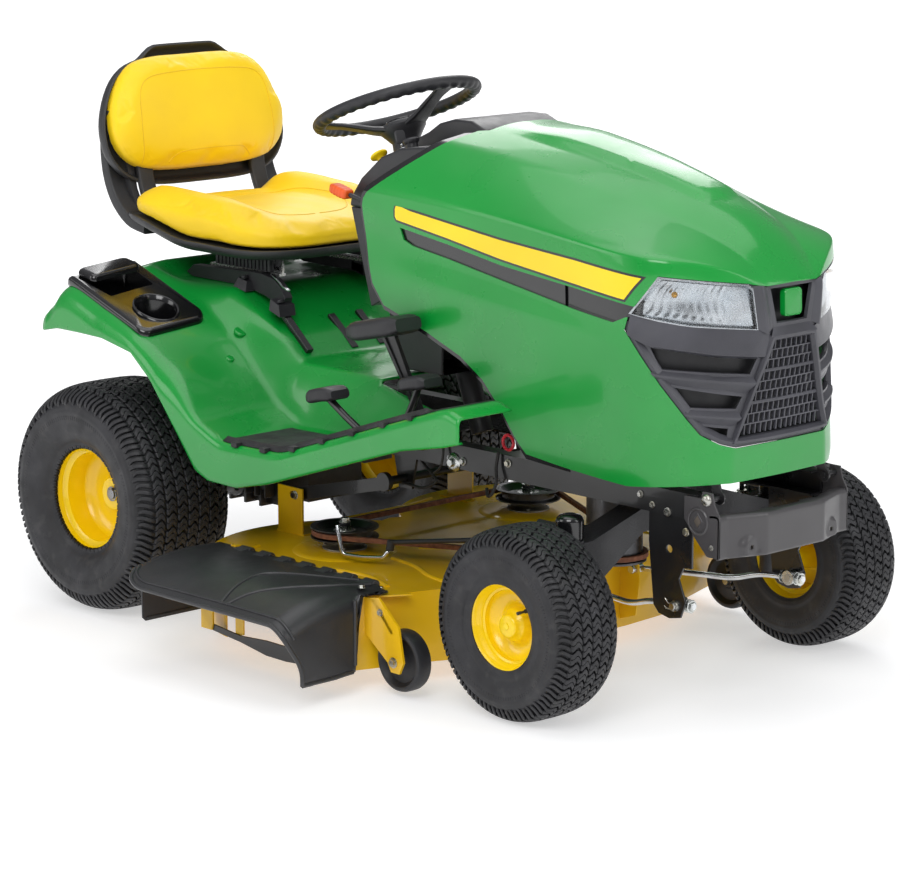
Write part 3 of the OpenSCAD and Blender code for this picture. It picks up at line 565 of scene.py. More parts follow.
class Part:
    """Collects closed solids in working millimetres and makes one piece of them."""

    def __init__(self):
        self.v, self.f = [], []

    def add(self, verts, faces):
        n = len(self.v)
        self.v += [tuple(p) for p in verts]
        self.f += [tuple(i + n for i in f) for f in faces]
        return self

    def box(self, x0, x1, y0, y1, z0, z1):
        v = [(x, y, z) for x in (x0, x1) for y in (y0, y1) for z in (z0, z1)]
        return self.add(v, [(0, 1, 3, 2), (4, 6, 7, 5), (0, 4, 5, 1), (2, 3, 7, 6), (0, 2, 6, 4),
                            (1, 5, 7, 3)])

    def plate(self, outline, lo, hi, axis="y"):
        """Outline of two numbers each, made solid along axis; the two are (x, z), (y, z) or (x, y)."""
        place = {"y": lambda a, b, c: (a, c, b), "x": lambda a, b, c: (c, a, b),
                 "z": lambda a, b, c: (a, b, c)}[axis]
        n = len(outline)
        v = [place(a, b, level) for level in (lo, hi) for a, b in outline]
        f = [tuple(range(n)), tuple(range(2 * n - 1, n - 1, -1))]
        f += [(i, i + n, (i + 1) % n + n, (i + 1) % n) for i in range(n)]
        return self.add(v, f)

    def lathe(self, profile, centre, axis=(0, 1, 0), n=48, scallop=None):
        """Profile of (radius, height along axis) points, turned round axis at centre."""
        ax, way = turned_round(axis)
        v, m = [], len(profile)
        for k in range(n):
            a = 2 * math.pi * k / n
            v += [Vector(centre) + way(a) * (r * (scallop(a, h) if scallop else 1)) + ax * h for r,
                  h in profile]
        ends = [tuple(k * m for k in range(n)), tuple(k * m + m - 1 for k in reversed(range(n)))]
        return self.add(v, quads(n, m, True, False) + ends)

    def ring(self, profile, centre, axis=(0, 1, 0), n=48):
        """Closed profile of (radius, height along axis) points, turned round axis: a tube-like solid."""
        ax, way = turned_round(axis)
        v = [Vector(centre) + way(2 * math.pi * k / n) * r + ax * h for k in range(n) for r, h in profile]
        return self.add(v, quads(n, len(profile), True))

    def rod(self, points, r, n=12, bend=0):
        """Round bar through points; bend is the radius in which it turns its corners."""
        pts = [Vector(p) for p in points]
        if bend:
            out = [pts[0]]
            for a, b, c in zip(pts, pts[1:], pts[2:]):
                da, dc = (a - b), (c - b)
                s = min(bend, da.length * 0.45, dc.length * 0.45)
                p0, p1 = b + da.normalized() * s, b + dc.normalized() * s
                out += [p0.lerp(b, t).lerp(b.lerp(p1, t), t) for t in (0, 0.17, 0.33, 0.5, 0.67, 0.83, 1)]
            pts = out + [pts[-1]]
        rings = []
        u = (pts[1] - pts[0]).normalized().orthogonal().normalized()
        for i, p in enumerate(pts):
            before, after = neighbours(pts, i)
            d = (after - before).normalized()
            u = (u - d * u.dot(d)).normalized()
            w = d.cross(u)
            turns = [2 * math.pi * k / n for k in range(n)]
            rings.append([p + (u * math.cos(a) + w * math.sin(a)) * r for a in turns])
        return self.loft(rings)

    def loft(self, rings):
        """Closed sections of equal length joined in order, with flat ends."""
        n, v = len(rings[0]), [p for r in rings for p in r]
        return self.add(v, quads(len(rings), n) + [tuple(reversed(range(n))),
                                                   tuple(range(len(v) - n, len(v)))])

    def hoop(self, rings):
        """Closed sections joined in order, the last one to the first."""
        return self.add([p for r in rings for p in r], quads(len(rings), len(rings[0]), True))

    def bolt(self, centre, axis, r=9, height=6, washer=1.5):
        """Hex flange bolt head, its washer face at centre."""
        self.lathe([(r * 1.35, 0), (r * 1.35, washer), (r * 1.1, washer + 0.6)], centre, axis, 24)
        ax, way = turned_round(axis)
        return self.loft([[Vector(centre) + way(k * math.pi / 3) * r * s + ax * h for k in range(6)]
                          for s, h in ((1, washer * 0.5), (1, washer + height * 0.8),
                                       (0.86, washer + height))])

    def mirrored(self):
        """The same again on the other side of the centre plane."""
        return self.add([(x, -y, z) for x, y, z in self.v], [tuple(reversed(f)) for f in self.f])

    def make(self, name, material, body, **kw):
        return piece(name, self.v, self.f, material, body, **kw)


# ---------- camera, light and floor ----------
def studio():
    """Camera where the photo was taken from, soft lights and a pale floor."""
    scene = bpy.context.scene
    scene.view_settings.view_transform = "Standard"
    scene.view_settings.look = "None"

    azimuth, elevation = math.radians(46.636), math.radians(11.497)
    back = Vector((math.sin(azimuth) * math.cos(elevation), -math.cos(azimuth) * math.cos(elevation),
                   math.sin(elevation)))
    data = bpy.data.cameras.new("camera")
    data.sensor_width, data.lens = 36, 132.62
    data.clip_start, data.clip_end = 0.1, 100
    cam = bpy.data.objects.new("camera", data)
    cam.location = at((5687.85, -4802.67, 1820.84))
    cam.rotation_mode = "QUATERNION"
    cam.rotation_quaternion = (-back).to_track_quat("-Z", "Y")
    scene.collection.objects.link(cam)
    scene.camera = cam

    world = bpy.data.worlds.new("studio")
    scene.world = world
    world.use_nodes = True
    t = world.node_tree
    sky = t.nodes["Background"]
    coord = t.nodes.new("ShaderNodeTexCoord")
    split = t.nodes.new("ShaderNodeSeparateXYZ")
    t.links.new(coord.outputs["Generated"], split.inputs[0])
    height = range_node(t, split.outputs["Z"], -0.2, 0.9, 0, 1)
    t.links.new(ramp_node(t, height, [(0.0, (0.5, 0.5, 0.5)), (0.25, (0.42, 0.42, 0.43)),
                                      (1.0, (0.95, 0.96, 1.0))]),
                sky.inputs["Color"])
    sky.inputs["Strength"].default_value = 0.45

    for name, place, target, size, watts in (
        ("key", (3.2, -4.2, 4.6), (0.1, 0, 0.5), 3.2, 170),
        ("fill", (4.8, 1.8, 2.6), (0.2, 0, 0.5), 3.0, 62),
        ("side", (-2.6, -4.6, 2.4), (-0.2, 0, 0.5), 2.6, 50),
        ("rim", (-3.4, 3.6, 3.8), (0, 0, 0.6), 3.0, 90),
        ("top", (0.2, 0.0, 5.2), (0.2, 0.001, 0), 4.5, 90),
    ):
        light = bpy.data.lights.new(name, "AREA")
        light.shape, light.size, light.energy = "SQUARE", size, watts
        o = bpy.data.objects.new(name, light)
        o.location = place
        o.rotation_mode = "QUATERNION"
        o.rotation_quaternion = (Vector(target) - Vector(place)).to_track_quat("-Z", "Y")
        scene.collection.objects.link(o)

    bm = bmesh.new()
    bmesh.ops.create_grid(bm, x_segments=8, y_segments=8, size=90)
    floor = bpy.data.objects.new("floor", to_mesh("floor", bm))
    m, tree, b, co = node_tree("pale_floor")
    tree.links.new(ramp_node(tree, noise_node(tree, co, 2.5, 4),
                             [(0.3, (0.60, 0.60, 0.605)), (0.7, (0.64, 0.64, 0.64))]),
                   b.inputs["Base Color"])
    b.inputs["Roughness"].default_value = 0.9
    b.inputs["Specular IOR Level"].default_value = 0.1
    far = tree.nodes.new("ShaderNodeVectorMath")
    far.operation = "LENGTH"
    tree.links.new(co, far.inputs[0])
    b.inputs["Emission Color"].default_value = (1, 1, 1, 1)
    tree.links.new(range_node(tree, far.outputs["Value"], 1.3, 7, 0.50, 1.0), b.inputs["Emission Strength"])
    floor.data.materials.append(m)
    scene.collection.objects.link(floor)
    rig.stage(floor)


studio()


# ---------- hood surface ----------
# Control cage of the hood, right half turned to +Y: each row runs from the rear to the nose as (x, |y|, z).
HOOD_X = (560, 700, 850, 1000, 1150, 1290, 1385)
HOOD_TOP = (
    ([1106, 1105, 1094, 1073, 1046, 1012, 982], [0] * 7, [(1442, 0, 955), (1497, 0, 912), (1543, 0, 846)]),
    ([1104, 1103, 1091, 1070, 1042, 1007, 977], [86, 82, 76, 70, 64, 56, 50],
     [(1442, 45, 950), (1497, 40, 908), (1542, 35, 845)]),
    ([1078, 1069, 1055, 1036, 1008, 973, 943], [214, 206, 192, 178, 162, 136, 115],
     [(1441, 102, 921), (1495, 84, 889), (1538, 68, 843)]),
)
HOOD_SIDE = (
    ([1022, 1018, 1009, 993, 970, 943, 925], [250, 249, 245, 239, 230, 213, 196],
     [(1441, 172, 911), (1498, 120, 886), (1539, 70, 838)], 0.0),
    ([962, 960, 954, 943, 928, 911, 901], [274, 279, 281, 282, 283, 282, 271],
     [(1441, 240, 895), (1503, 142, 880), (1540, 72, 833)], 0.45),
    ([935, 928, 916, 904, 892, 879, 871], [277, 280, 283, 284, 285, 284, 277],
     [(1438, 248, 867), (1506, 148, 850), (1541, 73, 824)], 0.3),
    ([915, 903, 884, 860, 838, 822, 808], [278, 281, 284, 285, 285, 285, 280],
     [(1434, 250, 806), (1508, 148, 794), (1542, 70, 782)], 0.0),
    ([880, 868, 848, 822, 797, 777, 768], [276, 277, 279, 281, 282, 283, 280],
     [(1430, 250, 760), (1508, 146, 750), (1543, 64, 742)], 0.3),
    ([806, 790, 775, 766, 754, 737, 712], [282, 285, 288, 289, 289, 287, 281],
     [(1434, 240, 690), (1500, 160, 676), (1532, 86, 668)], 0.5),
    ([650, 650, 645, 640, 630, 620, 612], [280, 283, 285, 285, 285, 283, 274],
     [(1438, 232, 600), (1496, 172, 592), (1518, 114, 586)], 0.0),
    ([520, 520, 514, 506, 494, 487, 482], [277, 278, 279, 279, 277, 272, 264],
     [(1446, 228, 478), (1493, 184, 478), (1514, 134, 520)], 0.35),
    ([440, 440, 440, 440, 440, 444, 446], [262, 264, 266, 267, 265, 262, 254],
     [(1442, 222, 446), (1490, 178, 456), (1512, 138, 462)], 0.0),
)
HOOD_NOSE = [(1541, 0, 833), (1542, 0, 824), (1543, 0, 782), (1546, 0, 742), (1536, 0, 668), (1523, 0, 586),
             (1518, 0, 520), (1518, 0, 462)]


def hood_rows():
    """All rows of the hood's control cage, from the centre line down to the skirt."""
    rows = [[(x, y, z) for x, y, z in zip(HOOD_X, ys, zs)] + tail for zs, ys, tail in HOOD_TOP]
    return rows + [[(x, y, z) for x, y, z in zip(HOOD_X, ys, zs)] + tail for zs, ys, tail, _ in HOOD_SIDE]


def dome_height(x, y):
    """The raised panel along the middle of the hood, its front end cut off square."""
    side = smooth((lerp(92, 56, (x - 900) / 450) - abs(y)) / 13)
    rise = smooth((x - 830) / 160)
    end = 1 - smooth((x - (1352 - abs(y) * 0.35)) / 16)
    return 9.5 * side * rise * end


def hood_surface(levels):
    """Vertices and faces of the whole outer surface, both halves, in working millimetres."""
    rows = hood_rows()
    bm = bmesh.new()
    crease = bm.edges.layers.float.new("crease_edge")
    grid = {}

    def vert(key, p):
        if key not in grid:
            grid[key] = bm.verts.new(p)
        return grid[key]

    sharp = {2: 0.6}
    sharp.update({3 + k: r[3] for k, r in enumerate(HOOD_SIDE)})
    last = len(rows[0]) - 1
    for side in (1, -1):
        def v(i, j):
            x, y, z = rows[i][j]
            return vert((i, j, 0 if y == 0 else side), (x, side * y, z))

        def nose(k, j):
            """Front face: j is 0 at its edge, 1 half way in, 2 at the centre plane."""
            ex, ey, ez = rows[4 + k][last]
            cx, _, cz = HOOD_NOSE[k]
            if j == 0:
                return v(4 + k, last)
            if j == 1:
                return vert(("n", k, side), (lerp(ex, cx, 0.6), side * ey * 0.5, lerp(ez, cz, 0.5)))
            return vert(("n", k, 0), (cx, 0, cz))

        for i in range(len(rows) - 1):
            for j in range(last):
                bm.faces.new([v(i, j), v(i, j + 1), v(i + 1, j + 1), v(i + 1, j)][::side])
        for k in range(len(HOOD_NOSE) - 1):
            for j in (0, 1):
                bm.faces.new([nose(k, j), nose(k, j + 1), nose(k + 1, j + 1), nose(k + 1, j)][::side])
        lip = [v(i, last) for i in range(5)]
        bm.faces.new([lip[1], lip[0], nose(0, 2), nose(0, 1)][::side])
        bm.faces.new([lip[2], lip[1], nose(0, 1), lip[4]][::side])
        bm.faces.new([lip[3], lip[2], lip[4]][::side])
        bm.edges.ensure_lookup_table()
        for i, c in sharp.items():
            for j in range(last):
                e = bm.edges.get((v(i, j), v(i, j + 1)))
                if e and c:
                    e[crease] = c
        for a, b in zip(lip[:3], lip[1:3]):
            e = bm.edges.get((a, b))
            e[crease] = 0.75
        for k in range(len(HOOD_NOSE) - 1):
            e = bm.edges.get((nose(k, 0), nose(k + 1, 0)))
            e[crease] = 0.55
        for j in (0, 1):
            for k in (0, 6):
                e = bm.edges.get((nose(k, j), nose(k, j + 1)))
                e[crease] = 0.5
    bmesh.ops.recalc_face_normals(bm, faces=bm.faces)
    o = bpy.data.objects.new("hood_cage", to_mesh("hood_cage", bm))
    bpy.context.scene.collection.objects.link(o)
    s = o.modifiers.new("Subdivision", "SUBSURF")
    s.levels = levels
    s.boundary_smooth = "PRESERVE_CORNERS"
    dg = bpy.context.evaluated_depsgraph_get()
    mesh = o.evaluated_get(dg).to_mesh()
    verts = [Vector(p.co) for p in mesh.vertices]
    faces = [tuple(p.vertices) for p in mesh.polygons]
    o.evaluated_get(dg).to_mesh_clear()
    bpy.data.objects.remove(o)
    up = [Vector((p.x, p.y, p.z + (dome_height(p.x, p.y) if p.z > 900 else 0))) for p in verts]
    return up, faces


def outward(verts, faces):
    """Smooth normals of the hood surface, turned outwards."""
    normals = [Vector() for _ in verts]
    for f in faces:
        n = (verts[f[2]] - verts[f[0]]).cross(verts[f[-1]] - verts[f[1]])
        for i in f:
            normals[i] += n
    middle = Vector((1000, 0, 600))
    turn = 1 if sum(n.dot(p - middle) for n, p in zip(normals, verts)) > 0 else -1
    return [n.normalized() * turn for n in normals], turn


HOOD_POINTS, HOOD_FACES = hood_surface(2 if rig.quick() else 3)
HOOD_NORMALS, FACE_TURN = outward(HOOD_POINTS, HOOD_FACES)
if FACE_TURN < 0:
    HOOD_FACES = [tuple(reversed(f)) for f in HOOD_FACES]
SKIN = BVHTree.FromPolygons(HOOD_POINTS, HOOD_FACES)


def on_hood(p, lift=0.0):
    """The point of the hood's outer surface nearest to p, raised along its normal."""
    place, n, _, _ = SKIN.find_nearest(Vector(p))
    return place + n * lift


def hood_layer(outer, inner, lo=(0, 0, 0), hi=(2000, 400, 2000)):
    """Closed solid between two offsets of the hood's left half, kept to the faces that reach into a box."""
    inside = [all(a <= c <= b for a, c, b in zip(lo, p, hi)) for p in HOOD_POINTS]
    use = [f for f in HOOD_FACES if sum(HOOD_POINTS[i].y for i in f) > 0 and any(inside[i] for i in f)]
    ids = {i: k for k, i in enumerate(sorted({i for f in use for i in f}))}
    n = len(ids)
    verts = []
    for level in (outer, inner):
        for i in ids:
            p = HOOD_POINTS[i] + HOOD_NORMALS[i] * level
            verts.append((p.x, 0.0 if abs(HOOD_POINTS[i].y) < 1e-4 else p.y, p.z))
    faces, edges = [], set()
    for f in use:
        g = [ids[i] for i in f]
        faces += [tuple(g), tuple(i + n for i in reversed(g))]
        edges.update(zip(g, g[1:] + g[:1]))
    faces += [(b, a, a + n, b + n) for a, b in edges if (b, a) not in edges]
    return verts, faces


def prism(points, direction, lo, hi):
    """Outline seen along direction, made solid from lo to hi along it."""
    d = Vector(direction).normalized()
    flat = [Vector(p) - d * Vector(p).dot(d) for p in points]
    n = len(flat)
    return ([p + d * lo for p in flat] + [p + d * hi for p in flat],
            [tuple(range(n)), tuple(range(2 * n - 1, n - 1, -1))]
            + [(i, i + n, (i + 1) % n + n, (i + 1) % n) for i in range(n)])


def helper_object(solid, name="helper"):
    """A working object of a solid's vertices and faces; whoever asks for it removes it."""
    bm = filled(*solid)
    bmesh.ops.recalc_face_normals(bm, faces=bm.faces)
    o = bpy.data.objects.new(name, to_mesh(name, bm))
    bpy.context.scene.collection.objects.link(o)
    return o


def carved(solid, *steps):
    """Mesh of a solid after steps of (operation, cutter), by the first solver that leaves anything."""
    for solver in ("MANIFOLD", "EXACT"):
        base = helper_object(solid)
        cutters = []
        for kind, cutter in steps:
            cutters.append(helper_object(cutter))
            m = base.modifiers.new("Boolean", "BOOLEAN")
            m.operation, m.solver, m.object = kind, solver, cutters[-1]
        dg = bpy.context.evaluated_depsgraph_get()
        mesh = bpy.data.meshes.new_from_object(base.evaluated_get(dg), depsgraph=dg)
        for o in [base] + cutters:
            bpy.data.objects.remove(o)
        if mesh.polygons:
            break
    return mesh


def add_twin(bm):
    """Adds the mirror image on the other side of the centre plane, and returns what was added."""
    twin = bmesh.ops.duplicate(bm, geom=bm.verts[:] + bm.edges[:] + bm.faces[:])["geom"]
    for v in (g for g in twin if isinstance(g, bmesh.types.BMVert)):
        v.co.y = -v.co.y
    return twin


def both_halves(name, mesh, material, stands_for=()):
    """A carved left half and its mirror image, joined on the centre plane, as one piece."""
    bm = bmesh.new()
    bm.from_mesh(mesh)
    flat = [f for f in bm.faces if all(abs(v.co.y) < 2e-3 for v in f.verts)]
    bmesh.ops.delete(bm, geom=flat, context="FACES")
    twin = add_twin(bm)
    bmesh.ops.reverse_faces(bm, faces=[g for g in twin if isinstance(g, bmesh.types.BMFace)])
    bmesh.ops.remove_doubles(bm, verts=[v for v in bm.verts if abs(v.co.y) < 2e-3], dist=4e-3)
    for v in bm.verts:
        v.co = at(v.co)
    return finish_object(name, to_mesh(name, bm, 35), material, "hood", stands_for=stands_for)


FASCIA_WAY = (0.72, 0.69, 0)
FASCIA = [(1543, -30, 842), (1543, 0, 842), (1538, 70, 840), (1528, 98, 844), (1522, 107, 847),
          (1424, 251, 865),
          (1374, 277, 793), (1364, 279, 759), (1394, 268, 714), (1425, 244, 656), (1463, 206, 587),
          (1479, 189, 560),
          (1502, 157, 540), (1515, 126, 531), (1518, 0, 531), (1518, -30, 531)]
LAMP = [(1424, 251, 862), (1521, 109, 844), (1527, 98, 833), (1533, 89, 758), (1461, 208, 769),
        (1376, 276, 791)]
HOOD_OUTLINE = [(810, 1300), (802, 1078), (786, 1061), (747, 1031), (708, 1003), (668, 976), (634, 953),
                (624, 940),
                (622, 926), (629, 880), (645, 815), (658, 770), (692, 728), (817, 690), (919, 652),
                (982, 612), (1036, 554), (1070, 506), (1095, 478), (1206, 465), (1353, 452), (1504, 464),
                (1700, 464),
                (1700, 1300)]
REAR_NOTCH = [(500, 420), (600, 277), (706, 196), (822, 110), (830, 0), (830, -30), (500, -30)]
SLOT_TOP = [(738, 891), (880, 872), (1031, 847), (1238, 825), (1386, 805)]
SLOT_LOW = [(1385, 786), (1365, 783), (1335, 770), (1237, 783), (1030, 817), (880, 842), (774, 857),
            (747, 867)]
STRIPE = [(719, 927), (722, 936), (732, 940), (769, 932), (1031, 901), (1237, 883), (1405, 863), (1384, 838),
          (1364, 812), (1237, 829), (1031, 855), (880, 880), (740, 900), (727, 902), (720, 910)]
SIDE_OPENINGS = (
    ((1412, 258, 728), (1531, 89, 702), (1525, 102, 672), (1427, 243, 686)),
    ((1441, 228, 652), (1519, 116, 630), (1514, 127, 607), (1457, 211, 613)),
    ((1476, 192, 578), (1508, 142, 570), (1507, 145, 549), (1493, 171, 551)),
)


def across(outline, y0=0, y1=400):
    """Cutter through one side of the hood from an outline of (x, z) points."""
    return prism([(x, 0, z) for x, z in outline], (0, 1, 0), y0, y1)


def facing(points, lo=900, hi=1400):
    """Cutter through the nose from an outline of points on its corner."""
    return prism(points, FASCIA_WAY, lo, hi)


def shrunk(outline, by):
    """Outline of two numbers each, every edge moved inwards by that much."""
    n = len(outline)
    area = sum(a[0] * b[1] - b[0] * a[1] for a, b in zip(outline, outline[1:] + outline[:1]))
    s = by if area > 0 else -by
    out = []
    for i, p in enumerate(outline):
        a, b = Vector(outline[i - 1]), Vector(outline[(i + 1) % n])
        p = Vector(p)
        d0, d1 = (p - a).normalized(), (b - p).normalized()
        n0, n1 = Vector((-d0.y, d0.x)), Vector((-d1.y, d1.x))
        m = (n0 + n1).normalized()
        out.append(tuple(p + m * (s / max(0.5, m.dot(n0)))))
    return out


def build_hood():
    shell = carved(hood_layer(0, -3.5), ("INTERSECT", across(HOOD_OUTLINE, -5, 400)),
                   ("DIFFERENCE", facing(FASCIA)),
                   ("DIFFERENCE", prism([(x, y, 0) for x, y in REAR_NOTCH], (0, 0, 1), 880, 1300)),
                   ("DIFFERENCE", across(SLOT_TOP + SLOT_LOW, 60, 400)))
    both_halves("hood_body", shell, GREEN, ("hood_shell",))

    back = [(796, 1300), (790, 1088), (776, 1073), (738, 1043), (699, 1015), (660, 988), (626, 965),
            (613, 946),
            (611, 928), (619, 878), (635, 812), (650, 763), (688, 718), (813, 680), (914, 642),
            (976, 603), (1030, 545), (1088, 466), (1206, 457), (1206, 700), (1206, 1300)]
    liner = carved(hood_layer(-5, -7, (500, 0, 0), (1230, 400, 2000)), ("INTERSECT", across(back, -5, 400)),
                   ("DIFFERENCE", prism([(x - 9, y, 0) for x, y in REAR_NOTCH], (0, 0, 1), 870, 1300)))
    both_halves("hood_trim", liner, GLOSS_BLACK)

    grown = shrunk(SLOT_TOP + SLOT_LOW, -8)
    box = ((700, 100, 740), (1440, 400, 930))
    tray = carved(hood_layer(-3.6, -12, *box), ("INTERSECT", across(grown, 60)),
                  ("DIFFERENCE", carved_solid(hood_layer(4, -9.5, *box), across(SLOT_TOP + SLOT_LOW, 60))))
    both_halves("side_slot_insert", tray, GLOSS_BLACK)

    border = carved(hood_layer(0.45, -0.6, *box), ("INTERSECT", across(STRIPE, 60)))
    both_halves("stripe_border", border, GLOSS_BLACK)
    inner = carved(hood_layer(0.95, -0.4, *box), ("INTERSECT", across(shrunk(STRIPE, 4.5), 60)))
    both_halves("stripe_panel", inner, DECAL_YELLOW, ("hood_stripes",))


def carved_solid(solid, cutter):
    mesh = carved(solid, ("INTERSECT", cutter))
    out = [v.co.copy() for v in mesh.vertices], [tuple(p.vertices) for p in mesh.polygons]
    bpy.data.meshes.remove(mesh)
    return out


def wedge(part, upper, ridge, lower, top=-2, peak=6, low=-8, back=-14, n=14):
    """Bar on the hood's surface: from its upper line out to the ridge, and back to its lower line."""
    def line(points, t):
        s = t * (len(points) - 1)
        i = min(int(s), len(points) - 2)
        return Vector(points[i]).lerp(Vector(points[i + 1]), s - i)

    rings = []
    for k in range(n + 1):
        t = k / n
        u, r, l = line(upper, t), line(ridge, t), line(lower, t)
        rings.append([on_hood(u, top), on_hood(r, peak), on_hood(r.lerp(l, 0.18), peak - 0.5),
                      on_hood(l, low),
                      on_hood(l, back), on_hood(u, back)])
    return part.loft(rings)


def strap(part, path, half, lo, hi):
    """Flat bar along a path on the hood's surface."""
    rings = []
    for i, p in enumerate(path):
        place, n, _, _ = SKIN.find_nearest(Vector(p))
        before, after = neighbours(path, i)
        s = n.cross((Vector(after) - Vector(before)).normalized()).normalized()
        rings.append([place - s * half + n * lo, place + s * half + n * lo, place + s * half + n * hi,
                      place - s * half + n * hi])
    return part.loft(rings)


def honeycomb(name, corners, lift):
    """Sheet of six-sided holes between four corners: top outer, top inner, low inner, low outer."""
    pitch, wire = 9.6, 2.6
    bm = bmesh.new()
    for four in corners:
        a, b, c, d = (Vector(p) for p in four)
        wide, high = (a - b).length, ((a - d).length + (b - c).length) / 2
        cols, rows = int(wide / pitch) + 1, int(high / (pitch * 0.866)) + 1
        seen = {}

        def corner(u, v):
            key = (round(u * 4000), round(v * 4000))
            if key not in seen:
                p = a.lerp(b, u).lerp(d.lerp(c, u), v)
                seen[key] = bm.verts.new(on_hood(p, lift))
            return seen[key]

        for r in range(-1, rows + 1):
            for k in range(-1, cols + 1):
                cu, cv = (k + 0.5 * (r % 2)) / cols, r / rows
                ring = [(cu + dx / (3 ** 0.5) / cols, cv + dy / 1.5 / rows)
                        for dx, dy in ((0, 1), (0.866, 0.5), (0.866, -0.5), (0, -1), (-0.866, -0.5),
                                       (-0.866, 0.5))]
                if all(-0.06 <= u <= 1.06 and -0.14 <= v <= 1.14 for u, v in ring):
                    try:
                        bm.faces.new([corner(u, v) for u, v in ring])
                    except ValueError:
                        pass
    holes = bm.faces[:]
    bmesh.ops.inset_individual(bm, faces=holes, thickness=wire / 2)
    bmesh.ops.delete(bm, geom=holes, context="FACES_ONLY")
    bmesh.ops.solidify(bm, geom=bm.faces[:], thickness=wire)
    add_twin(bm)
    for v in bm.verts:
        v.co = at(v.co)
    bmesh.ops.recalc_face_normals(bm, faces=bm.faces)
    return finish_object(name, to_mesh(name, bm, 30), GRILLE_GREY, "hood")


def grid_half(z):
    """Half the width of the centre grille's mesh at height z."""
    return lerp(121, 52, (z - 551) / 182)


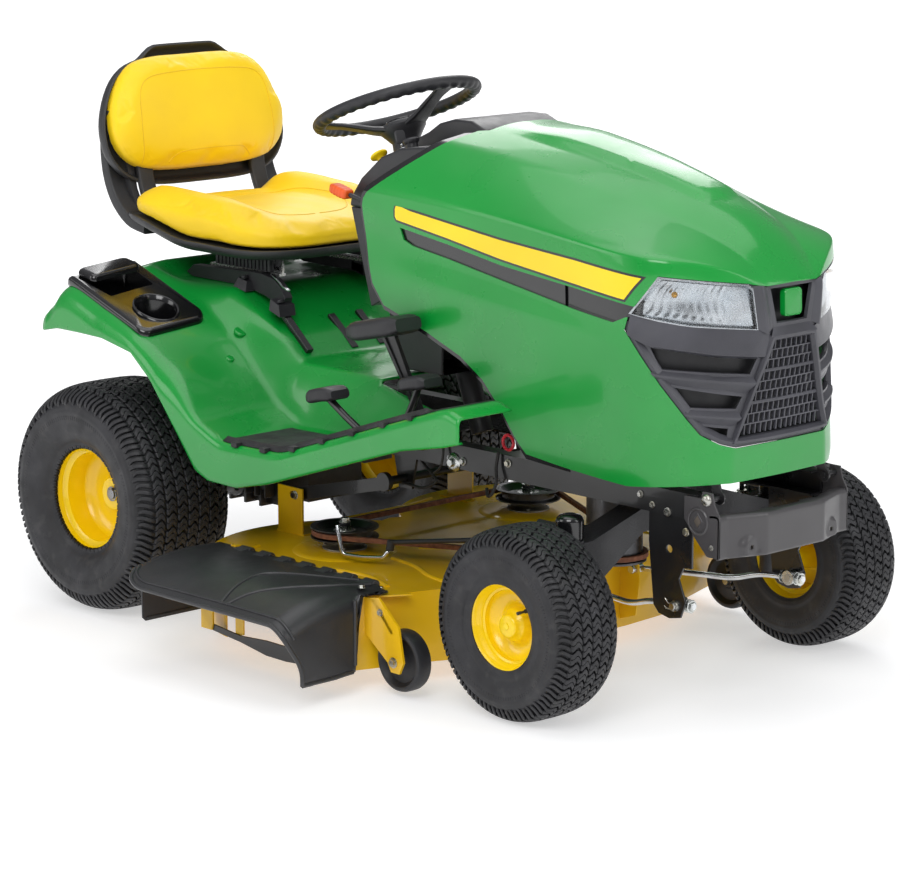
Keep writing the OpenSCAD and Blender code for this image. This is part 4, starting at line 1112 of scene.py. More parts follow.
def build_grille():
    region = ((1300, 0, 480), (1600, 400, 900))
    window = [(1543, -30, 834), (1540, 61, 834), (1542, 44, 766), (1545, -30, 766)]
    centre = [(1543, -30, 736), (1541, 54, 734), (1513, 122, 549), (1518, -30, 549)]
    plate = carved(hood_layer(-4, -11, *region), ("INTERSECT", facing(shrunk_fascia(0.8))),
                   *[("DIFFERENCE", facing(q)) for q in SIDE_OPENINGS], ("DIFFERENCE", facing(LAMP)),
                   ("DIFFERENCE", prism(window, (1, 0.25, 0), 1200, 1700)),
                   ("DIFFERENCE", prism(centre, (1, 0.25, 0), 1200, 1700)))
    both_halves("grille_frame", plate, GRILLE_GREY, ("grille",))

    p = Part()
    wedge(p, [(1376, 276, 789), (1461, 208, 768), (1533, 89, 757), (1541, 64, 750)],
          [(1371, 277, 752), (1405, 263, 734), (1497, 156, 713), (1540, 64, 706)],
          [(1376, 276, 746), (1412, 258, 728), (1490, 168, 708), (1536, 76, 699)], top=-1, peak=5)
    wedge(p, [(1420, 249, 688), (1427, 243, 686), (1525, 102, 672), (1529, 94, 671)],
          [(1412, 256, 680), (1420, 250, 677), (1476, 188, 668), (1530, 91, 656)],
          [(1432, 238, 655), (1441, 228, 652), (1519, 116, 630), (1522, 110, 629)], top=-8, peak=6)
    wedge(p, [(1459, 209, 613), (1463, 205, 612), (1514, 127, 607), (1516, 123, 606)],
          [(1457, 211, 602), (1461, 207, 600), (1489, 173, 597), (1518, 118, 590)],
          [(1470, 198, 580), (1476, 192, 578), (1508, 142, 570), (1510, 138, 569)], top=-8, peak=6)
    p.mirrored().make("grille_bars", GRILLE_GREY, "hood", bevel=0.9, angle=24)

    p = Part()
    edge = [(1366, 278, 757), (1395, 267, 713), (1426, 243, 655), (1464, 205, 586), (1480, 188, 560),
            (1502, 157, 541),
            (1513, 128, 533)]
    rim = [Vector(q) for q in resampled(edge, 26)]
    rows = []
    for i, q in enumerate(rim):
        place, n, _, _ = SKIN.find_nearest(q)
        before, after = neighbours(rim, i)
        s = n.cross((after - before).normalized()).normalized()
        if s.dot(Vector((1500, 0, 800)) - q) < 0:
            s = -s
        rows.append([place + s * w + n * h for w,
                     h in ((0.6, -8), (0.6, -1), (4, 1.5), (9, 3.5), (19, -7), (19, -12))])
    p.loft(rows)
    wedge(p, [(1527, 100, 842), (1531, 88, 758)], [(1533, 85, 841), (1539, 75, 750)],
          [(1539, 62, 836), (1543, 44, 764)],
          top=-2, peak=6, low=-9)
    p.mirrored().make("grille_edges", GRILLE_GREY, "hood", bevel=0.8, angle=24)

    p = Part()
    outer = [(1542, 64, 745), (1527, 99, 642), (1510, 136, 539)]
    inner = [(1543, 52, 733), (1528, 86, 642), (1513, 121, 551)]
    loop_out, loop_in = (line[::-1] + [(x, -y, z) for x, y, z in line]
                         for line in (resampled(outer, 14), resampled(inner, 14)))
    bars = list(zip(loop_out, loop_in))
    low_out = resampled([(1510, -136, 539), (1516, -60, 536), (1518, 0, 536), (1516, 60, 536),
                         (1510, 136, 539)], 18)
    low_in = resampled([(1513, -121, 551), (1518, -60, 550), (1520, 0, 550), (1518, 60, 550),
                        (1513, 121, 551)], 18)
    bars += list(zip(low_out, low_in))[1:-1]
    rings = []
    for a, b in bars:
        a, b = Vector(a), Vector(b)
        rings.append([on_hood(a, -10), on_hood(a, -1), on_hood(a.lerp(b, 0.22), 6.5),
                      on_hood(a.lerp(b, 0.62), 6.5),
                      on_hood(b, -1), on_hood(b, -12)])
    p.hoop(rings)
    p.make("grille_centre_frame", GRILLE_GREY, "hood", bevel=0.9, angle=24)

    p = Part()
    row, groups = 19.4, ((553, 3), (615, 3), (677, 3))
    for z0, count in groups:
        for r in range(count + 1):
            z = z0 + row * r
            if r == count and z0 > 670:
                break
            w = grid_half(z) + 3
            heavy = r == count
            path = [(1500, lerp(-w, w, k / 16), z + (1.5 if heavy else 0)) for k in range(17)]
            if heavy:
                section = ((3.5, -9), (3.5, -2.5), (-2, -0.5), (-4, -6), (-4, -11))
                p.loft([[on_hood((x + 40, y, up + dz), h) for dz, h in section] for x, y, up in path])
            elif r:
                strap(p, [(1540, q[1], q[2]) for q in path], 1.4, -10, -3)
        for r in range(count):
            lo, hi = z0 + row * r, z0 + row * (r + 1)
            w = grid_half((lo + hi) / 2)
            shift = 7.4 * ((r + groups.index((z0, count))) % 2)
            k = -12
            while k * 14.8 + shift < w:
                y = k * 14.8 + shift
                if y > -w:
                    strap(p, [(1535, y, lo - 0.5), (1538, y, (lo + hi) / 2), (1540, y, hi + 0.5)], 1.3,
                          -10.5, -3.4)
                k += 1
    p.make("grille_grid", GRILLE_GREY, "hood", bevel=0.35, angle=30, segments=1)

    p = Part()
    wedge(p, [(1540, 44, 768), (1545, 0, 768), (1540, -44, 768)],
          [(1541, 66, 744), (1547, 0, 744), (1541, -66, 744)],
          [(1543, 52, 733), (1547, 0, 733), (1543, -52, 733)], top=-9, peak=6, low=-2, back=-13)
    p.make("grille_ledge", GRILLE_GREY, "hood", bevel=0.8, angle=24)

    honeycomb("grille_side_mesh", [widened(q, 3) for q in SIDE_OPENINGS], -9)
    honeycomb("badge_mesh", [((1538, 62, 838), (1543, 0, 838), (1544, 0, 764), (1543, 45, 764))], -10)
    back = carved(hood_layer(-30, -31.5, *region), ("INTERSECT", facing(shrunk_fascia(4))))
    both_halves("grille_backing", back, GRILLE_DARK)

    plate = rounded_rect(25, 27, 9)
    rings = [[on_hood((1545, y * s, 804 + z * s), h) for y, z in plate] for s, h in
             ((1, -12), (1, -1.5), (0.94, 0.6), (0.9, 0.6), (0.87, -0.2), (0.5, 0.4), (0.1, 0.6))]
    Part().loft(rings).make("badge_plate", GREEN, "hood", sharp=40)


def rounded_rect(half_w, half_h, r, n=6):
    out = []
    for cx, cy, a0 in ((half_w - r, half_h - r, 0), (r - half_w, half_h - r, 90),
                       (r - half_w, r - half_h, 180),
                       (half_w - r, r - half_h, 270)):
        for k in range(n + 1):
            a = math.radians(a0 + 90 * k / n)
            out.append((cx + r * math.cos(a), cy + r * math.sin(a)))
    return out


def resampled(points, n):
    """n + 1 points at even distances along a line of points."""
    pts = [Vector(p) for p in points]
    run = [0.0]
    for a, b in zip(pts, pts[1:]):
        run.append(run[-1] + (b - a).length)
    out = []
    for k in range(n + 1):
        s = run[-1] * k / n
        i = max(j for j in range(len(pts) - 1) if run[j] <= s + 1e-9)
        out.append(tuple(pts[i].lerp(pts[i + 1], (s - run[i]) / (run[i + 1] - run[i]))))
    return out


def widened(quad, by):
    c = sum((Vector(p) for p in quad), Vector()) / 4
    return [tuple(Vector(p) + (Vector(p) - c).normalized() * by) for p in quad]


def shrunk_fascia(by):
    """The fascia outline moved inwards, apart from its ends on the centre plane."""
    c = Vector((1460, 100, 690))
    return [p if p[1] <= 0 else tuple(Vector(p) + (c - Vector(p)).normalized() * by) for p in FASCIA]


def widened_lamp(by):
    """The lamp's outline moved outwards."""
    c = Vector((1470, 180, 805))
    return [tuple(Vector(p) + (Vector(p) - c).normalized() * by) for p in LAMP]


def build_lamps():
    region = ((1340, 60, 700), (1600, 400, 900))
    lens = carved(hood_layer(0.4, -1.6, *region), ("INTERSECT", facing(widened_lamp(-1.2))))
    both_halves("headlight_covers", lens, LENS, ("headlights",))
    seat = carved(hood_layer(-1.8, -20, *region), ("INTERSECT", facing(widened_lamp(3))),
                  ("DIFFERENCE", carved_solid(hood_layer(4, -17.5, *region), facing(widened_lamp(-2.5)))))
    both_halves("headlight_housings", seat, MIRROR)
    p = Part()
    a, b, c, d = Vector((1428, 246, 856)), Vector((1520, 108, 838)), Vector((1530, 94, 764)), Vector((1384,
                                                                                                      270,
                                                                                                      792))
    cols, rows = (44, 10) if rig.quick() else (110, 26)
    sheet = []
    for r in range(rows + 1):
        v = r / rows
        line = []
        for k in range(cols + 1):
            u = k / cols
            q = a.lerp(b, u).lerp(d.lerp(c, u), v)
            fade = smooth(min(u, 1 - u) / 0.08) * smooth(min(v, 1 - v) / 0.12)
            flutes = math.sin(2 * math.pi * (u * 13
                                             + 0.35 * math.sin(v * math.pi * 1.6))) * smooth((0.8 - u) / 0.1)
            bowl = -4.0 * math.exp(-((u - 0.34) ** 2 / 0.05 + (v - 0.45) ** 2 / 0.14))
            line.append(on_hood(q, -11 + fade * (0.9 * flutes + bowl)))
        sheet.append(line)
    n = cols + 1
    front = [q for line in sheet for q in line]
    rear = [q + Vector((-1.6, -1.5, 0)) for q in front]
    m = len(front)
    f = quads(rows + 1, n, False, False)
    f += [tuple(m + i for i in reversed(q)) for q in f]
    rim = list(range(n)) + [r * n + cols for r in range(1, rows + 1)]
    rim += [rows * n + k for k in range(cols - 1, -1, -1)] + [r * n for r in range(rows - 1, 0, -1)]
    f += [(x, y, y + m, x + m) for x, y in zip(rim, rim[1:] + rim[:1])]
    p.add(front + rear, f)
    p.mirrored().make("headlight_reflectors", MIRROR, "hood", sharp=60)
    p = Part()
    base = on_hood((1440, 222, 828), -15)
    p.lathe([(6, 0), (6, 4), (3.4, 5), (3.4, 13), (2, 15.2), (0.5, 16)], base, (0.72, 0.69, 0.05), 20)
    p.mirrored().make("headlight_bulbs", AMBER, "hood")


build_hood()
build_grille()
build_lamps()


# ---------- wheels ----------
def curve_through(points, n):
    """Smooth line through points of any dimension, n samples to a span."""
    out = []
    last = len(points) - 1
    for i in range(last):
        p0, p1, p2, p3 = (points[max(i - 1, 0)], points[i], points[i + 1], points[min(i + 2, last)])
        for k in range(n):
            t = k / n
            out.append(tuple(0.5 * (2 * b + (c - a) * t + (2 * a - 5 * b + 4 * c - d) * t * t
                                    + (3 * b - a - 3 * c + d) * t ** 3) for a, b, c,
                                    d in zip(p0, p1, p2, p3)))
    return out + [tuple(points[-1])]


def tyre(radius, half, bead_r, bead_y, columns, around, tread):
    """Turf tyre centred on the origin, its axis along Y: carcass, wavy blocks and shoulder bars."""
    deep = radius - bead_r
    b = bead_y / half
    shape = [(0, 0), (0.4, 0.006), (0.62, 0.032), (0.79, 0.09), (0.91, 0.185), (0.98, 0.31), (1.0, 0.45),
             (0.985, 0.6), (max(0.93, b + 0.05), 0.78), (b + 0.045, 0.92), (b, 0.985), (b, 1.0)]
    line = curve_through([(y * half, radius - d * deep) for y, d in shape], 5)
    outline = [(-y, r) for y, r in reversed(line[1:])] + line
    normals = []
    for i in range(len(outline)):
        (ya, ra), (yb, rb) = neighbours(outline, i)
        k = math.hypot(yb - ya, rb - ra) or 1
        normals.append(((ra - rb) / k, (yb - ya) / k))
    body = []
    for (y, r), (ny, nr) in zip(outline, normals):
        d = (radius - r) / deep
        sink = tread * (1 - smooth((d - 0.2) / 0.16))
        ridge = 1.3 * (math.exp(-((d - 0.42) * 60) ** 2) + math.exp(-((d - 0.86) * 55) ** 2))
        body.append((r - nr * (sink - ridge), y - ny * (sink - ridge)))
    p = Part()
    p.ring(body, (0, 0, 0), (0, 1, 0), 72 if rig.quick() else 120)

    def lug(ring_of):
        """A rubber block: rows of where it stands, between which angles, how far it rises and sinks."""
        rings = []
        edge = 1.1
        for y, r, ny, nr, a0, a1, lift, under in ring_of:
            pts = []
            for a, h in ((a0, -under), (a0, lift - edge), (a0 + edge / radius, lift),
                         (a1 - edge / radius, lift),
                         (a1, lift - edge), (a1, -under)):
                rr, yy = r + nr * h, y + ny * h
                pts.append((rr * math.cos(a), yy, rr * math.sin(a)))
            rings.append(pts)
        p.loft(rings)

    ys = [q[0] for q in outline]
    lo = next(i for i, q in enumerate(ys) if q > -half * 0.94)
    hi = len(ys) - lo
    reach = half * 0.80
    pitch = 2 * reach / columns
    step = 2 * math.pi / around
    samples = 4 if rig.quick() else 7

    def surface(y):
        r = float(np.interp(y, ys[lo:hi], [q[1] for q in outline[lo:hi]]))
        ny = float(np.interp(y, ys[lo:hi], [q[0] for q in normals[lo:hi]]))
        return r, ny, math.sqrt(max(0.0, 1 - ny * ny))

    near, far = 0.02 * step, 0.40 * step
    for c in range(columns):
        y0 = -reach + pitch * c + pitch * 0.045
        line_y = [lerp(y0, y0 + pitch * 0.91, k / (samples - 1)) for k in range(samples)]
        under = [surface(y) for y in line_y]
        for i in range(around):
            a_mid = step * (i + 0.5 * (c % 2))
            for a0, a1 in ((-far, -near), (near, far)):
                rings = []
                for k, (y, ground) in enumerate(zip(line_y, under)):
                    t = k / (samples - 1)
                    a = a_mid + step * (0.20 * math.sin(2 * math.pi * (t - 0.1)) + 0.16 * (t - 0.5))
                    rings.append((y, *ground, a + a0, a + a1, 0.0, tread + 1))
                lug(rings)
    def at_depth(d):
        """The outline point on the side wall that lies nearest to a share d of the tyre's depth."""
        return min(range(len(line)), key=lambda q: abs((radius - line[q][1]) / deep - d)
                   + (line[q][0] < half * 0.5))

    fine = around * 2
    for side in (-1, 1):
        for i in range(fine):
            a = 2 * math.pi * (i + (0.25 if side > 0 else 0.75)) / fine
            rings = []
            for k in range(8):
                t = k / 7
                j = at_depth(lerp(0.075, 0.37 if i % 2 else 0.31, t))
                y, r = line[j]
                ny, nr = normals[len(line) - 1 + j]
                wide = 2 * math.pi / fine * lerp(0.30, 0.26, t)
                bend = 2 * math.pi / fine * 0.5 * math.sin(math.pi * t)
                fall = tread * smooth((t - 0.75) / 0.25)
                rings.append((side * y, r, side * ny, nr, a + bend - wide, a + bend + wide, -fall, tread
                              + 1.5))
            lug(rings)
    for side in (-1, 1):
        for i in range(around * 3):
            a = 2 * math.pi * i / (around * 3)
            j = at_depth(0.5)
            rings = []
            for k in (-1, 1):
                y, r = line[j + k]
                ny, nr = normals[len(line) - 1 + j + k]
                rings.append((side * y, r, side * ny, nr, a - 0.006, a + 0.006, 0.7, 1))
            lug(rings)
    return p


def rim_profile(front):
    """Section of a rim as (radius, distance outwards from its middle)."""
    if front:
        return [(0.5, 55), (17, 55), (21, 53.5), (23, 50), (24, 44), (30, 40), (33, 36), (35, 24), (42, 17),
                (54, 18),
                (64, 24), (71, 34), (74, 44), (75, 50), (79, 54), (81, 60), (84, 66), (87, 69.5), (90.5, 71),
                (93, 69),
                (93, 66), (90, 65), (87, 62), (85, 56), (84, 50), (70, 44), (70, -44), (84, -50), (85, -56),
                (87, -62),
                (90, -65), (93, -66), (93, -69), (90.5, -71), (87, -69.5), (84, -66), (81, -58), (79, -50),
                (76, -30),
                (66, 6), (50, 10), (34, 8), (30, 0), (28, -52), (0.5, -52)]
    return [(0.5, 27), (13, 27), (15, 24), (24, 24), (34, 26), (37, 22), (39, 12), (52, 9), (72, 10),
            (88, 15),
            (98, 27), (102, 44), (103, 60), (107, 66), (109, 78), (111, 88), (114, 94), (118, 98),
            (121, 98.5),
            (122.5, 96), (121, 93.5), (117, 92), (113.5, 87), (112, 80), (98, 72), (98, -72), (112, -80),
            (113.5, -87),
            (117, -92), (121, -93.5), (122.5, -96), (121, -98.5), (118, -98), (114, -94), (111, -86),
            (107, -60),
            (102, -24), (90, 4), (60, 3), (44, 2), (40, -30), (16.5, -32), (0.5, -32)]


def build_wheels():
    for front in (True, False):
        name = "front" if front else "rear"
        x, half_track = (1240, 412) if front else (0, 430)
        z = 190.5 if front else 250
        made = tyre(190.5, 79, 84, 69, 5, 42, 6.5) if front else tyre(250, 126, 112, 97, 7, 50, 7.5)
        for side, sign in (("right", -1), ("left", 1)):
            body = BODY_OF[f"{name}_tyre_{side}"]

            def place(part):
                part.v = [(x + a, sign * (half_track + b), z + c) for a, b, c in part.v]
                if sign < 0:
                    part.f = [tuple(reversed(f)) for f in part.f]
                return part

            t = Part()
            t.v, t.f = list(made.v), list(made.f)
            place(t).make(f"{name}_tyre_{side}_tread", TYRE, body,
                          stands_for=(f"{name}_tyre_{side}",), sharp=34, closed=False)
            r = Part()
            r.lathe(rim_profile(front), (0, 0, 0), (0, 1, 0), 96)
            place(r).make(f"{name}_rim_{side}_dish", YELLOW, body,
                          stands_for=(f"{name}_rim_{side}",), sharp=50, weighted=False)
            v = Part()
            start, tip = ((50, 26, 40), (43, 60, 36)) if front else ((52, 16, 30), (34, 52, 19))
            d = (Vector(tip) - Vector(start)).normalized()
            v.lathe([(7, -8), (7, 0), (5.5, 3), (4.6, 12), (4.2, 24)], start, d, 16)
            v.lathe([(2.6, 22), (2.6, 34), (3.4, 34.2), (3.4, 42), (1.5, 43)], start, d, 14)
            place(v).make(f"{name}_valve_{side}", WIRE, body, sharp=40)
            nuts = Part()
            if front:
                nuts.lathe([(7, 54), (7, 56.5), (5, 58)], (0, 0, 0), (0, 1, 0), 20)
            else:
                nuts.lathe([(11.5, 26.5), (11.5, 31), (9, 32)], (0, 0, 0), (0, 1, 0), 24)
                nuts.lathe([(15, -205), (15, -28)], (0, 0, 0), (0, 1, 0), 28)
                nuts.ring([(16, 26.6), (12.6, 26.6), (12.6, 28), (16, 28)], (0, 0, 0), (0, 1, 0), 28)
            place(nuts).make(f"{name}_axle_end_{side}", YELLOW if front else STEEL, body,
                             slot="yellow_paint" if front else "bare_steel", sharp=40)


build_wheels()

# ---------- seat ----------
SEAT_X = 12


def superellipse(a, hx, hy, power):
    c, s = math.cos(a), math.sin(a)
    r = (abs(c / hx) ** power + abs(s / hy) ** power) ** (-1 / power)
    return r * c, r * s


def seat_outline(a, grow=0.0):
    """Plan of the seat cushion at angle a: wide at the rear, drawn in a little at the front."""
    x, y = superellipse(a, 240 + grow, 254 + grow, lerp(5.6, 3.4, smooth(math.cos(a) * 1.4 + 0.5)))
    return SEAT_X + x, y * (1 - 0.08 * smooth((x + 40) / 260))


def seat_sweep(x, y):
    """How far the seat's underside rises at the rear corners and drops at the front."""
    return 40 * smooth((40 - x) / 230) * smooth((abs(y) - 110) / 110) - 9 * smooth((x - 40) / 160)


def seat_top(x, y):
    """Height of the cushion's top before it swells: side and rear bolsters round a dished middle."""
    side = smooth((abs(y) - 96) / 96) * lerp(1.0, 0.35, smooth((x - 40) / 190))
    rear = smooth((-110 - x) / 84)
    lip = smooth((x - 110) / 130)
    return 842 + 44 * max(side, rear * 0.35) - 10 * lip + 0.3 * seat_sweep(x, y)


BACK_U, BACK_W = (-0.2079, 0.9781), (-0.9781, -0.2079)


def on_back(u, y, w):
    """Working point at height u up the backrest, y across it and w behind its front face."""
    return (-190 + u * BACK_U[0] + w * BACK_W[0], y, 900 + u * BACK_U[1] + w * BACK_W[1])


def back_outline(a, grow=0.0, grab=0.0, rise=0.0):
    """Outline of the back cushion as (u, y): a wide rounded shape, narrower at the top."""
    u, y = superellipse(a, 137 + grow, 252 + grow, 3.9)
    y *= 1 - 0.15 * smooth((u + 20) / 150) - 0.05 * smooth((-u - 40) / 90)
    if grab and u > 0:
        u += grab * smooth((140 - abs(y)) / 60)
    return 130 + rise + u, y


def pillow(outline, centre, front, back, place, around=84, rings=13, power=2.7):
    """Closed crowned form over an outline; front and back give its two faces' levels."""
    verts, sections = [], []
    for face, p in ((front, power), (back, 5.0)):
        steps = [math.pi / 2 * k / rings for k in range(rings + 1)]
        rows = [(math.sin(f) ** (2 / p) if f else 0.0, max(0.0, math.cos(f)) ** (2 / p)) for f in steps]
        sections.append([(s, h, face) for s, h in rows])
    order = sections[0][1:] + sections[1][1:-1][::-1]
    order = [(s, h, face) for s, h, face in order if s > 0.02]
    cx, cy = centre
    for s, h, face in order:
        for k in range(around):
            ox, oy = outline(2 * math.pi * k / around)
            x, y = cx + (ox - cx) * s, cy + (oy - cy) * s
            mid = lerp(back(x, y), front(x, y), 0.42)
            verts.append(place(x, y, mid + (face(x, y) - mid) * h))
    n = len(order)
    ends = [tuple(reversed(range(around))), tuple((n - 1) * around + k for k in range(around))]
    return verts, quads(n, around) + ends


def swollen(name, verts, faces, hold):
    """Cloth pass: the form remeshed finely, blown up from inside, no point moved further than the cap."""
    voxel, quick_voxel, cap = 6, 12, 9
    src = helper_object(([at(v) for v in verts], faces), name)
    m = src.modifiers.new("Remesh", "REMESH")
    m.mode, m.voxel_size = "VOXEL", (quick_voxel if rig.quick() else voxel) * MM
    dg = bpy.context.evaluated_depsgraph_get()
    fine = bpy.data.meshes.new_from_object(src.evaluated_get(dg), depsgraph=dg)
    bpy.data.objects.remove(src)
    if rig.quick():
        return fine
    body = bpy.data.objects.new(name, fine)
    bpy.context.scene.collection.objects.link(body)
    cloth = body.modifiers.new("Cloth", "CLOTH")
    s = cloth.settings
    s.quality = 5
    s.use_pressure = True
    s.uniform_pressure_force = 4
    s.effector_weights.gravity = 0
    cloth.collision_settings.use_collision = False
    scene = bpy.context.scene
    cloth.point_cache.frame_start, cloth.point_cache.frame_end = 1, 20
    for f in range(1, 21):
        scene.frame_set(f)
        dg = bpy.context.evaluated_depsgraph_get()
        body.evaluated_get(dg)
    dg = bpy.context.evaluated_depsgraph_get()
    moved = body.evaluated_get(dg).to_mesh()
    ends = [v.co.copy() for v in moved.vertices]
    body.evaluated_get(dg).to_mesh_clear()
    scene.frame_set(1)
    bpy.data.objects.remove(body)
    for v, end in zip(fine.vertices, ends):
        step = end - v.co
        if step.length > cap * MM:
            step *= cap * MM / step.length
        v.co += step * hold(v.co)
    return fine


def drawn_seam(name, tree, points, r, way=(0, 0, -1)):
    """Sewn seam: a fine cord laid on a cushion's surface through points given above it."""
    lift = 0.1
    line = []
    for q in points:
        start = at(q)
        hit, n, _, _ = tree.ray_cast(start, Vector(way))
        if hit:
            line.append(tuple((hit + n * lift * MM - ORIGIN) / MM))
    p = Part()
    p.rod(line, r, n=8)
    return p.make(name, PIPING, "seat")


def tree_of(o):
    """Search tree of an object's finished surface."""
    dg = bpy.context.evaluated_depsgraph_get()
    dg.update()
    return BVHTree.FromObject(o, dg)


def build_seat():
    bottom = lambda x, y: 784.0 + seat_sweep(x, y)
    form = pillow(seat_outline, (SEAT_X, 0), seat_top, bottom, lambda x, y, z: (x, y, z))

    def hold_seat(co):
        p = (co - ORIGIN) / MM
        return smooth((p.z - 786 - seat_sweep(p.x, p.y)) / 20)

    mesh = swollen("seat_form", *form, hold_seat)
    cushion = finish_object("seat_cushion_cover", mesh, VINYL, "seat",
                            stands_for=("seat_cushion",), subsurf=1)
    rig.padded(cushion, 0.8)
    tree = tree_of(cushion)
    ring = [superellipse(2 * math.pi * k / 72, 150, 136, 3.0) for k in range(72)]
    drawn_seam("seat_cushion_seam", tree, [(SEAT_X + 8 + x, y, 960) for x, y in ring], 1.0)

    front = lambda u, y: 2.0 - 7.0 * (1 - (y / 240) ** 2) * (1 - ((u - 130) / 150) ** 2)
    back = lambda u, y: 66.0
    form = pillow(lambda a: back_outline(a, 0, 0, 16), (146, 0), front, back, on_back, power=3.3)

    def hold_back(co):
        p = (co - ORIGIN) / MM
        w = (p.x + 190) * BACK_W[0] + (p.z - 900) * BACK_W[1]
        return smooth((62 - w) / 14)

    mesh = swollen("back_form", *form, hold_back)
    cushion = finish_object("seat_back_cushion_cover", mesh, VINYL, "seat",
                            stands_for=("seat_back_cushion",), subsurf=1)
    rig.padded(cushion, 0.8)
    tree = tree_of(cushion)
    ahead = (BACK_W[0], 0, BACK_W[1])
    arch = curve_through([(32, -186), (76, -190), (136, -188), (196, -178), (222, -152), (230, -100),
                          (233, 0),
                          (230, 100), (222, 152), (196, 178), (136, 188), (76, 190), (32, 186)], 6)
    drawn_seam("seat_back_seam", tree, [on_back(u, y, -80) for u, y in arch], 1.1, ahead)
    low = curve_through([(30, -118), (44, -104), (52, -80), (54, 0), (52, 80), (44, 104), (30, 118)], 5)
    drawn_seam("seat_back_low_seam", tree, [on_back(u, y, -80) for u, y in low], 1.0, ahead)

    p = Part()
    around = 96

    def rings(outline_of, centre, rows, place):
        out = []
        for s, grow, w in rows:
            ring = []
            for k in range(around):
                ox, oy = outline_of(2 * math.pi * k / around, grow)
                ring.append(place(centre[0] + (ox - centre[0]) * s, centre[1] + (oy - centre[1]) * s, w))
            out.append(ring)
        return out

    p.loft(rings(lambda a, g: back_outline(a, g, 26), (130, 0),
                 [(0.03, 0, 92), (0.5, 0, 92), (0.8, 4, 89), (0.94, 8, 82), (1, 4, 72), (1, 8, 62),
                  (1, 9, 54),
                  (1, 8, 48), (1, 4, 46), (1, 0, 50), (1, -3, 60), (0.9, 0, 68), (0.5, 0, 70),
                  (0.03, 0, 70)], on_back))
    p.make("seat_back_shell_panel", SHELL_BLACK, "seat", stands_for=("seat_back_shell",),
           sharp=50)
    p = Part()
    grab = rings(lambda a, g: (248 + superellipse(a, 12 + g, 96 + g, 3)[0],
                               superellipse(a, 12 + g, 96 + g, 3)[1]),
                 (248, 0), [(1, 5, 44), (1, 5, 22), (1, 2, 18), (1, -3, 18), (1, -5, 24), (1, -5, 40)],
                 on_back)
    p.hoop(grab)
    p.make("seat_back_grab_rim", SHELL_BLACK, "seat", sharp=50)

    def arm(path, y0, y1, thick):
        """Arm of the shell swept along an (x, z) path, its section a rounded bar from y0 to y1."""
        line = curve_through(path, 6)
        out = []
        for i, (x, z) in enumerate(line):
            a, b = neighbours(line, i)
            d = Vector((b[0] - a[0], b[1] - a[1])).normalized()
            near = [(5, 0), (1.5, 1.5), (0, 5), (0, thick - 5), (1.5, thick - 1.5), (5, thick)]
            section = [(y0 + e, h) for e, h in near] + [(y1 - e, h) for e, h in near[::-1]]
            out.append([(x - d.y * h, y, z + d.x * h) for y, h in section])
        return out

    p = Part()
    outer = [(-292, 1052), (-302, 1000), (-303, 950), (-295, 900), (-276, 856), (-248, 822), (-206, 794),
             (-150, 782)]
    inner = [(-254, 968), (-250, 920), (-238, 872), (-214, 826), (-176, 796)]
    p.loft(arm(outer, 196, 240, 26))
    p.loft(arm(inner, 142, 184, 16))
    p.plate([(x + 6, z + 2) for x, z in outer[:-1]] + [(x - 4, z) for x, z in inner[::-1]] + [(-262, 1040)],
            182, 200)
    p.mirrored().make("seat_shell_arms", SHELL_BLACK, "seat", sharp=50)

    p = Part()
    p.loft(rings(seat_outline, (SEAT_X, 0),
                 [(0.03, 0, 764), (0.5, 0, 764), (0.86, 0, 765), (0.97, 0, 766), (1, 1, 769), (1, 7, 775),
                  (1, 10, 782),
                  (1, 9, 787), (1, 5, 788), (1, 0, 785), (0.96, 0, 784), (0.5, 0, 783), (0.03, 0, 783)],
                 lambda x, y, z: (x, y, z + seat_sweep(x, y))))
    p.make("seat_pan_tray", SHELL_BLACK, "seat", stands_for=("seat_pan",), sharp=50)
    p = Part()
    p.plate([(168, 768), (172, 742), (182, 738), (198, 738), (208, 742), (212, 768)], 142, 147)
    p.bolt((190, 147, 752), (0, 1, 0), 7, 5)
    p.mirrored().make("seat_pan_ears", SHELL_BLACK, "seat", bevel=1)

    p = Part()
    for k in range(15):
        x = 6 + 12.5 * k
        p.plate([(x, 727), (x + 8, 727), (x + 8, 754), (x, 754)], 150, 162)
    p.box(2, 190, 149, 153, 727, 754)
    p.mirrored()
    p.make("seat_bellows", GRIP, "seat_slider", slot="black_rubber", bevel=1.2)


build_seat()

# ---------- fender deck ----------
FENDER_TOP = [(-178, 622), (-152, 694), (-120, 726), (-84, 724), (0, 694), (100, 654), (180, 614), (240, 566),
              (330, 470), (420, 432), (604, 436), (1096, 598), (1124, 594), (1140, 580)]
TUNNEL_TOP = [(-178, 622), (-150, 700), (-112, 736), (-88, 690), (120, 690), (290, 600), (340, 556),
              (600, 552),
              (800, 501), (1096, 598), (1130, 592), (1152, 560)]
SKIRT_LOW = [(-178, 596), (-130, 606), (-60, 606), (26, 604), (129, 585), (196, 533), (294, 419), (342, 362),
             (380, 348), (470, 346), (568, 368), (770, 433), (976, 500), (1096, 524), (1152, 540)]
SLOTS = {-1: ((704, 830, 386, 414), (780, 896, 338, 366), (770, 860, 256, 300)), 1: ((850, 912, 256, 300),)}


def averaged(points, x, reach=20):
    """Height of a line of points at x, its corners rounded off over reach either way."""
    return sum(path_value(points, x + reach * k / 4) for k in range(-4, 5)) / 9


